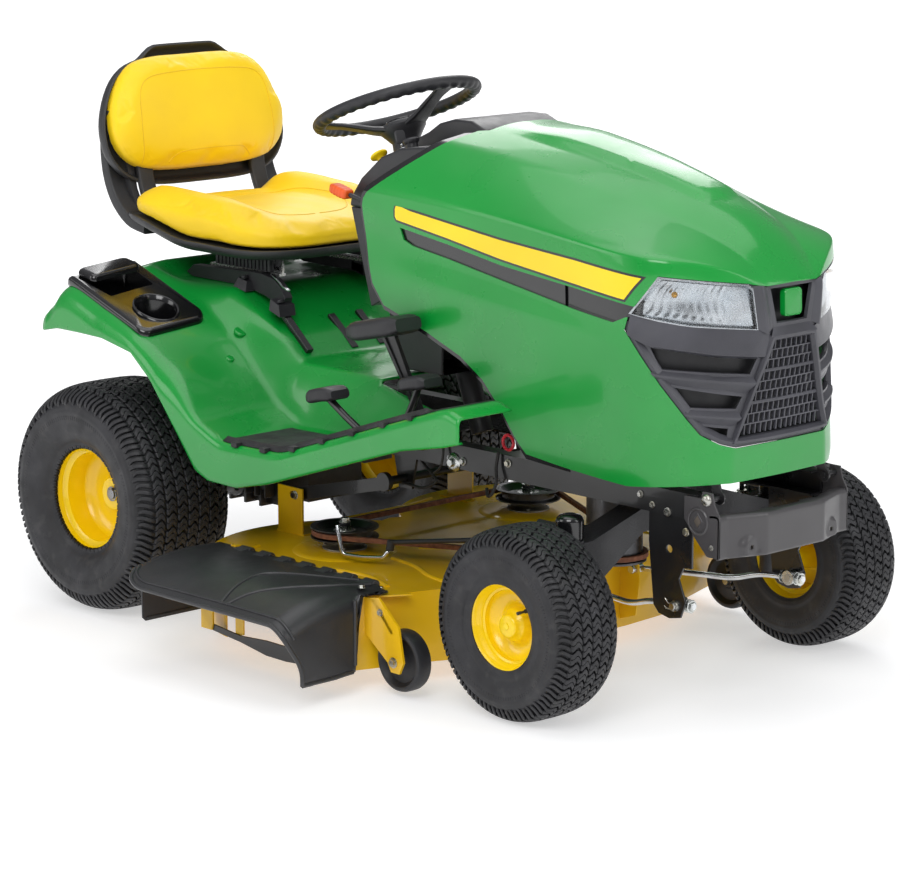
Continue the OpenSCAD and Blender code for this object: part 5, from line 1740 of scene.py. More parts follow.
def fender_height(x, y):
    """Top surface of the fender deck: seat tunnel, valley, fender and footrest in one smooth sheet."""
    y = abs(y)
    blend = smooth((y - 196) / 78)
    z = lerp(averaged(TUNNEL_TOP, x, 13), averaged(FENDER_TOP, x), blend)
    z -= 0.1 * max(0.0, y - 250) * smooth((300 - x) / 120) * smooth((x + 178) / 40)
    dish = math.exp(-((x - 236) / 62) ** 2 - ((y - 330) / 84) ** 2)
    z -= 15 * dish
    radius = lerp(50, 15, smooth((x - 232) / 120))
    radius = min(radius, max(4.0, 0.8 * (z - path_value(SKIRT_LOW, x))))
    over = y - (500 - radius)
    if over > 0:
        z -= radius - math.sqrt(max(0.0, radius * radius - over * over))
    return z


def spaced(stops, step):
    """Numbers through all the stops, evenly spaced between two of them and at most a step apart."""
    out = []
    for a, b in zip(stops, stops[1:]):
        n = max(1, math.ceil((b - a) / step))
        out += [a + (b - a) * k / n for k in range(n)]
    return out + [stops[-1]]


def in_slot(side, x, y):
    """Whether a point of the footrest lies in one of the openings that the pedal arms pass through."""
    return any(a < x < b and c < y < d for a, b, c, d in SLOTS[side])


def build_fender():
    step = 20 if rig.quick() else 11
    xs = spaced([-178, -168, -150, -124, -100, 70, 130, 190, 230, 300, 340, 420, 600, 704, 770, 780, 830,
                 850, 860, 880,
                 896, 912, 1040, 1096, 1124, 1140], step)
    ys = spaced([0, 196, 208, 236, 256, 274, 294, 300, 338, 340, 356, 366, 386, 414, 450, 470, 485, 492, 497,
                 500], step)
    verts, index, faces = [], {}, []

    def vert(key, p):
        if key not in index:
            index[key] = len(verts)
            verts.append(p)
        return index[key]

    for side in (-1, 1):
        def top(i, j):
            x, y = xs[i], ys[j]
            return vert((i, j, 0 if j == 0 else side), (x, side * y, fender_height(x, y)))

        def skirt(i, k):
            if k == 0:
                return top(i, len(ys) - 1)
            x = xs[i]
            hi, lo = fender_height(x, 500), path_value(SKIRT_LOW, x)
            y, z = ((500, lerp(hi, lo, k / 7)) if k <= 7
                    else ((497, lo - 2.5) if k == 8 else (488, lo - 2.5)))
            return vert((i, "s", k, side), (x, side * y, z))

        for i in range(len(xs) - 1):
            xc = (xs[i] + xs[i + 1]) / 2
            for j in range(len(ys) - 1):
                yc = (ys[j] + ys[j + 1]) / 2
                if (xc > 600 and yc < 208) or (xc > 880 and yc < 294) or (xc > 1040 and yc < 356):
                    continue
                if -124 < xc < 130 and 300 < yc < 470:
                    continue
                if in_slot(side, xc, yc):
                    continue
                faces.append((top(i, j), top(i + 1, j), top(i + 1, j + 1), top(i, j + 1))[::side])
            for k in range(9):
                faces.append((skirt(i, k), skirt(i + 1, k), skirt(i + 1, k + 1), skirt(i, k + 1))[::side])
    piece("fender_deck_sheet", verts, faces, GREEN, "chassis", closed=False,
          stands_for=("fender_deck",), solid=4, weighted=False, bevel=0)

    p = Part()
    for x, y, r in ((196, 250, 15), (226, 306, 10)):
        z = fender_height(x, y)
        p.lathe([(r, -3), (r, 0.6), (r - 1.6, 2.2), (r - 4, 2.6), (1, 2.6)], (x, y, z), (0.5, 0, 0.87), 28)
    p.mirrored().make("fender_drain_pads", GREEN, "chassis", sharp=50)


def build_mats_and_trays():
    for side, sign in (("right", -1), ("left", 1)):
        verts, faces, index = [], [], {}
        step = 24 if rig.quick() else 12
        xs = spaced([420, 436, 604, 704, 770, 780, 830, 850, 860, 896, 912, 1024, 1040], step)
        ys = spaced([300, 306, 338, 366, 386, 414, 470, 480, 488], step)

        def vert(i, j):
            if (i, j) not in index:
                x, y = xs[i], ys[j]
                edge = min(x - 420, 1040 - x, y - 300, 488 - y)
                lip = 4.5 * smooth(edge / 5) + 7 * smooth((y - 466) / 10) * smooth(edge / 4)
                rib = 1.1 * (0.5 + 0.5 * math.cos(x * math.pi / 12)) * smooth((edge - 14) / 6)
                index[(i, j)] = len(verts)
                outer = fender_height(x, min(y, 484))
                verts.append((x, sign * y, outer + 0.8 + lip + rib))
            return index[(i, j)]

        for i in range(len(xs) - 1):
            for j in range(len(ys) - 1):
                xc, yc = (xs[i] + xs[i + 1]) / 2, (ys[j] + ys[j + 1]) / 2
                if in_slot(sign, xc, yc):
                    continue
                faces.append((vert(i, j), vert(i + 1, j), vert(i + 1, j + 1), vert(i, j + 1))[::sign])
        piece(f"foot_mat_{side}", verts, faces, MAT_RUBBER, "chassis", closed=False,
              stands_for=("foot_mats",) if sign < 0 else (), solid=3, weighted=False)

    clips = Part()
    for x in (470, 560, 650, 740, 830, 920, 1000):
        z = fender_height(x, 480)
        clips.box(x - 9, x + 9, 484, 501, z - 4, z + 7)
    clips.mirrored().make("foot_mat_clips", MAT_RUBBER, "chassis", bevel=2)

    def seated(points):
        """Points given by their height over the fender, set on its sloping top."""
        return [(x, y, z + lerp(averaged(FENDER_TOP, x), path_value(FENDER_TOP, x), 0.5) - 0.1 * (y - 250))
                for x, y, z in points]

    p = Part()
    rim = [(3 + x, 385 + y) for x, y in rounded_rect(137, 89, 26)]

    def inset(by, z):
        return [(3 + (x - 3) * (1 - by / 137), 385 + (y - 385) * (1 - by / 89), z) for x, y in rim]

    p.loft([seated(r) for r in (inset(5, -50), inset(2, -6), inset(-1, 0), inset(-1, 8), inset(1, 12),
                                inset(6, 15))])
    hole = Part()
    hole.lathe([(42, -44), (43, 6), (47, 12), (50, 22)], (80, 388, 0), (0, 0, 1), 48)
    hole.v = seated(hole.v)
    bin_hole = Part()
    bin_hole.loft([seated([(-60 + a, 385 + b, z) for a, b in rounded_rect(h, k, 9)])
                   for h, k, z in ((50, 60, -38), (52, 62, 9), (57, 66, 22))])
    solid = carved((p.v, p.f), ("DIFFERENCE", (hole.v, hole.f)), ("DIFFERENCE", (bin_hole.v, bin_hole.f)))
    for side, sign in (("right", -1), ("left", 1)):
        verts = [(v.co.x, sign * v.co.y, v.co.z) for v in solid.vertices]
        faces = [tuple(q.vertices)[::sign] for q in solid.polygons]
        piece(f"storage_tray_{side}", verts, faces, GLOSS_BLACK, "chassis",
              stands_for=("storage_tray",) if sign < 0 else (), sharp=34, bevel=0.8, angle=40, segments=2)
    p = Part()
    p.ring([(43.2, 8), (45, 15.5), (48, 17.5), (51, 15.5), (51.5, 13), (47, 10)], (80, 388, 0), (0, 0, 1), 48)
    p.loft([[(-88 + a * s, 385 + b * s, z) for a, b in rounded_rect(30, 66, 12)]
            for s, z in ((1, 13), (1, 20), (0.95, 25), (0.85, 27))])
    p.v = seated(p.v)
    p.mirrored().make("storage_tray_lids", GLOSS_BLACK, "chassis", sharp=40)


build_fender()
build_mats_and_trays()

# ---------- steering wheel, dash and pedals ----------
BRAKE_PIVOT = (900, 470)
DRIVE_PIVOT = (800, 468)
WHEEL_CENTRE = (424, 0, 1092)
TILT = math.radians(21.6)
WHEEL_AXIS = (-math.sin(TILT), 0, math.cos(TILT))
DASH_DROP = 22


def on_wheel(a, r, h):
    """Working point on the steering wheel at angle a, radius r and height h above the ring's plane."""
    x, y = r * math.cos(a), r * math.sin(a)
    return (WHEEL_CENTRE[0] + x * math.cos(TILT) - h * math.sin(TILT), y,
            WHEEL_CENTRE[2] + x * math.sin(TILT) + h * math.cos(TILT))


def block(part, frame_of, size, corner, ends=5, power=0.62):
    """Pad with rounded corners and domed ends, of three half lengths: frame_of(u, v, w) places it."""
    hu, hv, hw = size
    rings = []
    for k in range(-ends, ends + 1):
        t = k / ends
        u = hu * math.sin(t * math.pi / 2)
        s = max(0.30, math.cos(t * math.pi / 2)) ** power if abs(t) > 0.45 else 1.0
        s = min(1.0, s * 1.12)
        rings.append([frame_of(u, v * lerp(1, s, 0.6), w * s) for v, w in rounded_rect(hv, hw, corner)])
    return part.loft(rings)


def build_steering():
    n, m = (96, 12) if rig.quick() else (240, 20)
    p = Part()
    v = []
    for i in range(n):
        a = 2 * math.pi * i / n
        for j in range(m):
            b = 2 * math.pi * j / m
            under = smooth((-math.sin(b) + 0.15) / 0.7)
            r = 14.6 - 2.2 * under * (0.5 + 0.5 * math.cos(40 * a)) + 0.8 * math.cos(2 * b)
            v.append(on_wheel(a, 170 + r * math.cos(b), r * math.sin(b)))
    p.add(v, quads(n, m, True))
    half_section = [(1, -0.6), (1, 0.3), (0.75, 1), (0.35, 1), (0.2, 0.45)]
    spoke_section = [(0.8, -1)] + half_section + [(-y, z) for y, z in half_section[::-1]] + [(-0.8, -1)]
    for d in (0, 125, 235):
        a0 = math.radians(d)
        rings = []
        for r, h, w, t in ((166, -4, 29, 8), (152, -7, 23, 9), (126, -14, 18, 10), (96, -25, 19, 12),
                           (66, -38, 24, 13),
                           (40, -46, 30, 14), (14, -48, 34, 14)):
            section = []
            for y, z in spoke_section:
                off = y * w
                far = math.hypot(r, off) if r > 20 else max(r, abs(off))
                section.append(on_wheel(a0 + math.atan2(off, max(r, 20)), far, h + z * t * 0.5))
            rings.append(section)
        p.loft(rings)
    p.lathe([(16, -100), (26, -96), (30, -78), (42, -62), (50, -52), (52, -44), (47, -37), (34, -33),
             (0.5, -32)],
            WHEEL_CENTRE, WHEEL_AXIS, 48)
    p.make("steering_wheel_rim", GRIP, "hand_wheel", slot="grip_plastic", stands_for=("steering_wheel",),
           sharp=48)
    p = Part()
    p.lathe([(30, -36), (33, -31.5), (31, -29), (0.5, -28)], WHEEL_CENTRE, WHEEL_AXIS, 40)
    p.make("steering_hub_cap", GLOSS_BLACK, "hand_wheel", sharp=40)
    p = Part()
    p.lathe([(10.5, -330), (10.5, -98)], WHEEL_CENTRE, WHEEL_AXIS, 24)
    p.make("steering_shaft", BLACK_PAINT, "hand_wheel")
    p = Part()
    p.lathe([(12.5, 62), (26, 62), (31, 78), (33, 100), (38, 130), (52, 176)], WHEEL_CENTRE,
            [-c for c in WHEEL_AXIS], 36)
    p.make("column_boot", GRIP, "chassis", sharp=40)


def slope_frame(origin, tilt, drop=0.0):
    """Places (along, across, up) on a slope tilted up to the front, sunk by drop."""
    ang = math.radians(tilt)
    ux, uz = (math.cos(ang), math.sin(ang)), (-math.sin(ang), math.cos(ang))
    return lambda a, b, c: (origin[0] + a * ux[0] + (c - drop) * uz[0], origin[1] + b,
                            origin[2] + a * ux[1] + (c - drop) * uz[1])


def build_dash():
    p = Part()
    p.plate([(458, 905), (452, 930), (500, 978), (556, 1020), (604, 1048), (640, 1064), (672, 1084),
             (717, 1096),
             (767, 1096), (812, 1078), (812, 1000), (800, 905)], -112, 112)
    p.make("dash_hump", BLACK, "chassis", stands_for=("dash_panel",), bevel=7, segments=3)
    p = Part()
    p.plate([(500, 905), (505, 926), (536, 967), (598, 1016), (656, 1038), (700, 1044), (760, 1050),
             (760, 905)],
            108, 206)
    p.mirrored().make("dash_wings", BLACK, "chassis", bevel=6, segments=3)


def build_controls():
    key = slope_frame((610, -160, 1048.5), 18.7, DASH_DROP)
    up = Vector(key(0, 0, 1)) - Vector(key(0, 0, 0))
    p = Part()
    p.lathe([(8, -12), (8, 3), (7, 5), (0.5, 5)], key(0, 0, 0), up, 24)
    p.make("ignition_barrel", CHROME, "key", stands_for=("ignition_key",), sharp=40)
    p = Part()
    p.ring([(8.6, 0), (8.6, 3.5), (12, 3.5), (13.5, 0)], key(0, 0, 0), up, 32)
    p.make("ignition_bezel", BLACK, "chassis", sharp=40)
    p = Part()
    p.loft([[key(a, b, c) for b, c in ((-3, 4), (3, 4), (3, 18), (-3, 18))] for a in (-1.2, 1.2)])
    p.make("ignition_blade", CHROME, "key")
    p = Part()
    p.loft([[key(a, b * s, 28 + c * s) for b, c in rounded_rect(12.5, 14, 7)]
            for a, s in ((-3.2, 0.86), (-2.2, 1), (2.2, 1), (3.2, 0.86))])
    p.make("ignition_fob", SHELL_BLACK, "key", sharp=40)

    switch = slope_frame((546, -160, 1007), 40.24, DASH_DROP)
    up = Vector(switch(0, 0, 1)) - Vector(switch(0, 0, 0))
    p = Part()
    p.lathe([(7, -18), (7, 2), (6.2, 6), (6.6, 14), (9, 20), (15, 23), (18.6, 25), (19.4, 27.5), (18.4, 30),
             (14, 31.4), (0.5, 32)], switch(0, 0, 0), up, 40)
    p.make("blade_knob", KNOB_YELLOW, "blade_switch", stands_for=("blade_switch_knob",),
           sharp=60)
    p = Part()
    p.ring([(7.6, 0), (7.6, 3), (12, 3), (13.5, 0)], switch(0, 0, 0), up, 32)
    p.lathe([(13, -2), (13, 8), (16.5, 12), (17, 17), (14.5, 20), (0.5, 21)], (652, -166, 1036),
            (-0.3, 0, 0.95), 36,
            scallop=lambda a, h: 1 + 0.03 * math.cos(14 * a) * (9 < h < 19))
    p.make("choke_knob", BLACK, "chassis", sharp=40)

    p = Part()
    p.rod([(620, -236, 915), (560, -236, 930), (524, -236, 937)], 4.5, 12)
    p.lathe([(12, -5), (12, 5)], (620, -236, 915), (0, 1, 0), 24)
    p.make("throttle_arm", BLACK, "throttle", stands_for=("throttle_lever",), sharp=40)
    p = Part()
    d = Vector((-0.97, 0, 0.24)).normalized()
    w = Vector((0.24, 0, 0.97)).normalized()
    mid = Vector((510, -236, 940))
    rings = []
    for k in range(25):
        t = k / 24
        s = (1 - abs(2 * t - 1) ** 4) ** 0.5 * 0.5 + 0.5
        s *= 1 - 0.055 * (k % 4 in (1, 2)) * (0.1 < t < 0.9)
        rings.append([mid + d * (-27 + 54 * t) + Vector((0, 1, 0)) * y * s + w * z * s
                      for y, z in rounded_rect(15, 11, 6, 4)])
    p.loft(rings)
    p.make("throttle_knob", ORANGE, "throttle", sharp=50)


def bar_between(part, a, b, half_w, half_t, side=(0, 1, 0), bow=0.0, n=8):
    """Flat bar from a to b, its width along side, bowed sideways to both by bow."""
    a, b = Vector(a), Vector(b)
    d = (b - a).normalized()
    s = Vector(side)
    s = (s - d * s.dot(d)).normalized()
    t = d.cross(s)
    rings = []
    for k in range(n + 1):
        u = k / n
        c = a.lerp(b, u) + t * bow * math.sin(math.pi * u)
        rings.append([c + s * x * half_w + t * y * half_t for x, y in ((-1, -1), (1, -1), (1, 1), (-1, 1))])
    return part.loft(rings)


def build_pedals():
    lift = slope_frame((753, -340, 698), 12)
    p = Part()
    block(p, lambda u, v, w: lift(u, v, w - 2), (76, 44, 20), 13, power=0.45)
    p.make("lift_pedal_pad", GRIP, "lift_foot", stands_for=("lift_pedal",), sharp=60)
    p = Part()
    bar_between(p, (756, -324, 686), (798, -262, 472), 11, 6, (1, 0.2, 0))
    bar_between(p, (742, -330, 684), (788, -276, 520), 4, 8, (1, 0.2, 0))
    p.lathe([(22, -30), (24, -26), (24, 18), (22, 22)], (800, -256, 466), (0, 1, 0), 32)
    p.make("lift_pedal_arm", BLACK_PAINT, "lift_foot", bevel=1.5)

    p = Part()
    brake = slope_frame((838, 350, 668), 60)
    block(p, brake, (42, 48, 9), 7)
    for k in range(-3, 4):
        p.loft([[brake(11 * k + a, v, 8 + c) for a, c in ((-2.4, 0), (2.4, 0), (1.6, 3.6), (-1.6, 3.6))]
                for v in (-38, 38)])
    p.make("brake_pad", MAT_RUBBER, "brake_foot", stands_for=("brake_pedal",), sharp=60)
    p = Part()
    pivot = (BRAKE_PIVOT[0], 262, BRAKE_PIVOT[1])
    bar_between(p, pivot, (843, 331, 658), 8, 5, (1, 0, 0))
    p.lathe([(16, -32), (16, 14)], pivot, (0, 1, 0), 28)
    p.make("brake_arm", BLACK_PAINT, "brake_foot", bevel=1.2)

    for name, x, z, y in (("forward", 648, 556, -400), ("reverse", 872, 604, -352)):
        pad = slope_frame((x, y, z), 12)
        p = Part()
        block(p, lambda u, v, w, pad=pad: pad(u, v, w + 4 * (1 - (u / 40) ** 2) - 6), (40, 32, 14), 9,
              power=0.5)
        for k in range(-2, 3):
            p.loft([[pad(12 * k + a, v, 10 + c - abs(k) * 1.2) for a,
                     c in ((-2, 0), (2, 0), (1.2, 2.2), (-1.2, 2.2))]
                    for v in (-20, 20)])
        p.make(f"{name}_pad", GRIP, f"{name}_foot", slot="black_rubber", stands_for=(f"{name}_pedal",),
               sharp=60)
        p = Part()
        end = Vector((x, y, z - 8))
        start = Vector((DRIVE_PIVOT[0], y, DRIVE_PIVOT[1]))
        way = (end - start).normalized()
        bow = Vector((-way.z, 0, way.x)) * (3 if name == "forward" else -4)
        p.rod([start, start.lerp(end, 0.3) + bow * 0.8, start.lerp(end, 0.65) + bow, end], 7.5, 14, bend=30)
        p.lathe([(14, -12), (14, 12)], start, (0, 1, 0), 24)
        p.make(f"{name}_arm", BLACK_PAINT, f"{name}_foot", sharp=40)


def build_seat_mount():
    p = Part()
    p.plate([(-84, 700), (-60, 718), (70, 722), (168, 724), (214, 716), (236, 700), (252, 678), (246, 662),
             (222, 664), (186, 676), (120, 690), (-60, 692)], 150, 172)
    p.loft([[(226, 150, 652), (262, 150, 640), (262, 196, 640), (226, 196, 652)],
            [(222, 150, 676), (258, 150, 664), (252, 190, 664), (224, 190, 676)]])
    p.loft([[(104, 150, 690), (146, 150, 682), (146, 194, 682), (104, 194, 690)],
            [(106, 150, 712), (142, 150, 706), (138, 184, 704), (110, 184, 710)]])
    p.bolt((244, 178, 668), (-0.3, 0, 0.95), 7, 5)
    p.bolt((124, 178, 708), (-0.1, 0, 0.99), 7, 5)
    p.mirrored().make("seat_bracket", BLACK, "chassis", slot="black_paint", stands_for=("seat_base",),
                      bevel=2.5)
    p = Part()
    bar_between(p, (250, 170, 640), (330, 170, 572), 9, 5)
    bar_between(p, (250, 40, 628), (330, 40, 564), 9, 4)
    p.mirrored().make("seat_slide_rails", BLACK_PAINT, "chassis", bevel=1.2)
    p = Part()
    p.rod([(214, 176, 726), (240, 180, 716), (262, 186, 706), (288, 192, 702)], 3.2, 10, bend=8)
    p.v = [(x, -y, z) for x, y, z in p.v]
    p.make("seat_latch", CHROME, "seat_slider")


build_steering()
build_dash()
build_controls()
build_pedals()
build_seat_mount()

# ---------- mower deck and discharge chute ----------
SPINDLE_X, SPINDLE_Y = 552, 270
ROLLER = (968, 482, 73)
CHUTE_REAR, CHUTE_FLAT, CHUTE_ROLL, CHUTE_DROP = 385, 474.0, 46.0, 118
CHUTE_ARC = CHUTE_ROLL * math.pi / 2
CHUTE_LENGTH = CHUTE_FLAT + CHUTE_ARC + CHUTE_DROP
HINGE_Y, HINGE_Z = -470, 206


def chute_outer(x):
    """Working y of the chute's outer edge: straight, with a rounded rear corner."""
    s = min(1.0, max(0.0, (470 - x) / 88))
    return -742 + 62 * (1 - math.sqrt(max(0.0, 1 - s * s)))


def chute_top(y):
    """Height of the chute's roof, which falls away outwards."""
    d = -y
    return 211 + 3 * min(1, (d - 466) / 74) - 42 * max(0.0, (d - 540) / 202) ** 2.4


def chute_point(s, t, lift=0.0):
    """Point on the chute's outside: s runs forward along the roof and down the front panel, t outwards."""
    turn = min(CHUTE_ARC, max(0.0, s - CHUTE_FLAT)) / CHUTE_ROLL
    x = CHUTE_REAR + min(s, CHUTE_FLAT) + CHUTE_ROLL * math.sin(turn)
    drop = CHUTE_ROLL * (1 - math.cos(turn)) + max(0.0, s - CHUTE_FLAT - CHUTE_ARC)
    out = chute_outer(x) + 48 * smooth(drop / 130)
    y = lerp(HINGE_Y, out, t)
    reach = 10 + (chute_top(y) - 58) * smooth((-y - 540) / 14)
    z = chute_top(y) - min(drop, reach)
    return (x, y, z + lift)


def build_chute():
    cols = [CHUTE_FLAT * k / 34 for k in range(34)] + [CHUTE_FLAT + CHUTE_ARC * k / 12 for k in range(12)]
    top_cols = len(cols)
    cols += [CHUTE_FLAT + CHUTE_ARC + CHUTE_DROP * k / 12 for k in range(13)]
    rows = [k / 34 for k in range(35)]
    v = [chute_point(s, t) for s in cols for t in rows]
    piece("chute_cover", v, quads(len(cols), len(rows), False, False), CHUTE_BLACK, "chute", closed=False,
          stands_for=("discharge_chute",), solid=5)
    p = Part()
    p.rod([chute_point(s, 1.0, -1) for s in cols], 4.6, 10)
    inner = [chute_point(s, 0.945 - 0.02 * math.sin(math.pi * s / CHUTE_LENGTH)) for s in cols[:top_cols]]
    p.rod(inner, 3.4, 10)
    p.rod([chute_point(CHUTE_LENGTH - 1, t) for t in rows if lerp(HINGE_Y, -694, t) < -556], 4.2, 10)
    p.rod([(905, -556, z) for z in (64, 120, 168, 196)], 4.0, 10)
    for pts in (((836, -482), (748, -530), (670, -584), (668, -650), (694, -722)),
                ((876, -488), (838, -560), (780, -618), (732, -668), (712, -724))):
        line = curve_through(pts, 8)
        p.rod([(x, y, chute_top(y) - 0.6) for x, y in line], 4.0, 10)
    for x in range(455, 840, 64):
        p.lathe([(9.4, 0), (10.4, 1.5), (10.4, 32), (9.4, 33.5)], (x, HINGE_Y, HINGE_Z), (1, 0, 0), 28)
        p.plate([(-470, 200), (-492, 202), (-500, 211), (-488, 214), (-470, 215.5)], x + 2, x + 31, "x")
    p.make("chute_rolled_edges", CHUTE_BLACK, "chute", sharp=50)
    p = Part()
    rear = [chute_point(45, t, -4) for t in (0.35, 0.5, 0.65, 0.8, 0.93)]
    outline = [q[1:] for q in rear] + [(-716, 100), (-708, 92), (-560, 92), (-552, 98)]
    p.plate(outline, 430, 434, "x")
    p.box(434, 436, -706, -566, 96, 101)
    p.make("chute_rear_flap", BLACK, "chute", bevel=1.0)
    p = Part()
    p.rod([(428, HINGE_Y, HINGE_Z), (866, HINGE_Y, HINGE_Z)], 4.9, 16)
    for x, ax in ((428, -1), (866, 1)):
        p.bolt((x, HINGE_Y, HINGE_Z), (ax, 0, 0), 6, 4)
    p.bolt((884, -520, 212), (0, 0, 1), 6, 4)
    p.make("chute_hinge_rod", ZINC, "deck", sharp=40)


def build_deck():
    p = Part()
    for y in (-SPINDLE_Y, SPINDLE_Y):
        p.ring([(27.3, 196), (47, 196), (47, 199), (38, 203), (33, 209), (31, 218), (27.3, 218)],
               (SPINDLE_X, y, 0), (0, 0, 1), 48)
        for k in range(4):
            a = math.radians(45 + 90 * k)
            p.bolt((SPINDLE_X + 40 * math.cos(a), y + 40 * math.sin(a), 198), (0, 0, 1), 5, 4)
    p.make("spindle_housings", HOUSING, "deck", sharp=40)
    for side, y in (("right", -SPINDLE_Y), ("left", SPINDLE_Y)):
        p = Part()
        p.lathe([(24, 230.5), (24, 233.5), (14, 234), (14, 243), (0.5, 243)], (SPINDLE_X, y, 0), (0, 0, 1),
                36)
        p.bolt((SPINDLE_X, y, 250.5), (0, 0, 1), 10, 8)
        p.make(f"pulley_hub_{side}", ZINC, f"cutter_{side}", sharp=40)
    p = Part()
    for y in (-SPINDLE_Y, SPINDLE_Y):
        p.lathe([(112, 188), (108, 192), (96, 194.5), (60, 196), (48, 196), (48, 188)], (SPINDLE_X, y, 0),
                (0, 0, 1), 64)
    for pts, sides in ((((640, -420), (700, -395), (772, -392), (850, -420)), (1, -1)),
                       (((680, -250), (760, -262), (850, -300), (940, -310)), (1, -1)),
                       (((650, -150), (700, -90), (720, 0)), (1, -1)),
                       (((402, -380), (420, -440), (470, -500)), (1,)),
                       (((310, -200), (330, -110), (334, 0)), (1, -1))):
        for s in sides:
            p.rod([(x, s * y, 187.5) for x, y in curve_through(pts, 8)], 7, 12)
    for x, y in ((470, -470), (620, -500), (700, -472), (640, 520)):
        p.lathe([(9, 188), (9, 191), (6, 192.5), (0.5, 192.5)], (x, y, 0), (0, 0, 1), 20)
    p.make("deck_pressed_ribs", DECK_YELLOW, "deck", sharp=50)
    p = Part()
    for s in (-1, 1):
        p.bolt((968, s * 511.5, 73), (0, s, 0), 8, 6)
        p.bolt((930, s * 511.5, 168), (0, s, 0), 5.5, 4)
        p.bolt((372, s * 251.5, 276), (0, s, 0), 7, 5)
        p.lathe([(7.5, -24), (7.5, 26)], (ROLLER[0], s * ROLLER[1], ROLLER[2]), (0, 1, 0), 20)
    for x, y in ((452, -452), (860, -448), (640, -452)):
        p.bolt((x, y, 190.5), (0, 0, 1), 6.5, 5)
    p.make("deck_bolts", BOLT, "deck", sharp=40)
    p = Part()
    p.plate([(860, 500), (884, 500), (912, 476), (936, 430), (880, 430), (852, 470)], 189.5, 193, "z")
    p.loft([[(900, 505, 190), (900, 511, 190), (960, 511, 128), (960, 505, 128)],
            [(912, 505, 194), (912, 511, 194), (968, 511, 132), (968, 505, 132)]])
    p.mirrored()
    p.make("gauge_wheel_gussets", DECK_YELLOW, "deck", bevel=0.8)
    p = Part()
    p.rod([(622, -352, 268), (634, -350, 208), (676, -330, 206), (716, -306, 208), (722, -300, 226)], 4.2,
          12, bend=12)
    p.make("idler_rod", CHROME, "deck")
    p = Part()
    p.rod([(724, -299, 224), (726, -296, 244)], 8.5, 14)
    p.rod([(724, -297, 240), (880, -214, 258), (1000, -170, 262)], 5.2, 12)
    p.make("idler_rod_link", BLACK, "deck", sharp=40)
    p = Part()
    line = [(444, -560, 62), (560, -562, 52), (640, -561, 48), (700, -560, 47), (888, -557, 52)]
    rings = []
    for i, (x, y, z) in enumerate(line):
        wide = 7 + 9 * (i in (2, 3))
        rings.append([(x, y - 2, z - wide), (x, y + 2, z - wide), (x, y + 2, z + wide), (x, y - 2, z + wide)])
    p.loft(rings)
    p.make("discharge_bar", BLACK_PAINT, "deck", bevel=1.0)
    p = Part()
    p.plate([(436, 54), (470, 54), (474, 66), (474, 104), (436, 104)], -566, -561)
    p.plate([(540, 54), (566, 60), (566, 100), (540, 100)], -560, -556)
    p.make("discharge_bracket", DECK_YELLOW, "deck", bevel=1.0)


def build_gauge_wheels():
    for side, s in (("right", -1), ("left", 1)):
        p = Part()
        x, y, z = ROLLER[0], s * ROLLER[1], ROLLER[2]
        face = [(15, 16), (17, 13), (22, 9), (38, 6.5), (44, 8), (49, 15), (52, 18.4), (56, 19), (60, 16.5),
                (62, 11)]
        p.ring([(8.6, -16), (8.6, 16)] + face + [(62.3, 0)] + [(r, -h) for r, h in face[::-1]], (x, y, z),
               (0, 1, 0), 96)
        for k in range(5):
            a = 2 * math.pi * k / 5
            u, w = math.cos(a), math.sin(a)
            p.loft([[(x + r * u - q * w, y + h, z + r * w + q * u)
                     for q, h in ((-2.5, 5), (2.5, 5), (2.5, t), (-2.5, t))]
                    for r, t in ((14, 14), (30, 9.5), (46, 12))])
        p.make(f"gauge_wheel_{side}_tyre", GRIP, f"roller_{side}",
               stands_for=(f"gauge_wheel_{side}",), sharp=35)


build_chute()
build_deck()
build_gauge_wheels()

# ---------- bumper, axle and lift hardware ----------
PAD_HOLE_Y, PAD_HOLE_Z = 117, 342


def bumper_face(y):
    """Working x of the bumper's front face before its pressed pads."""
    a = abs(y)
    return 1561 - 30 * min(1.0, max(0.0, (a - 83) / 80))


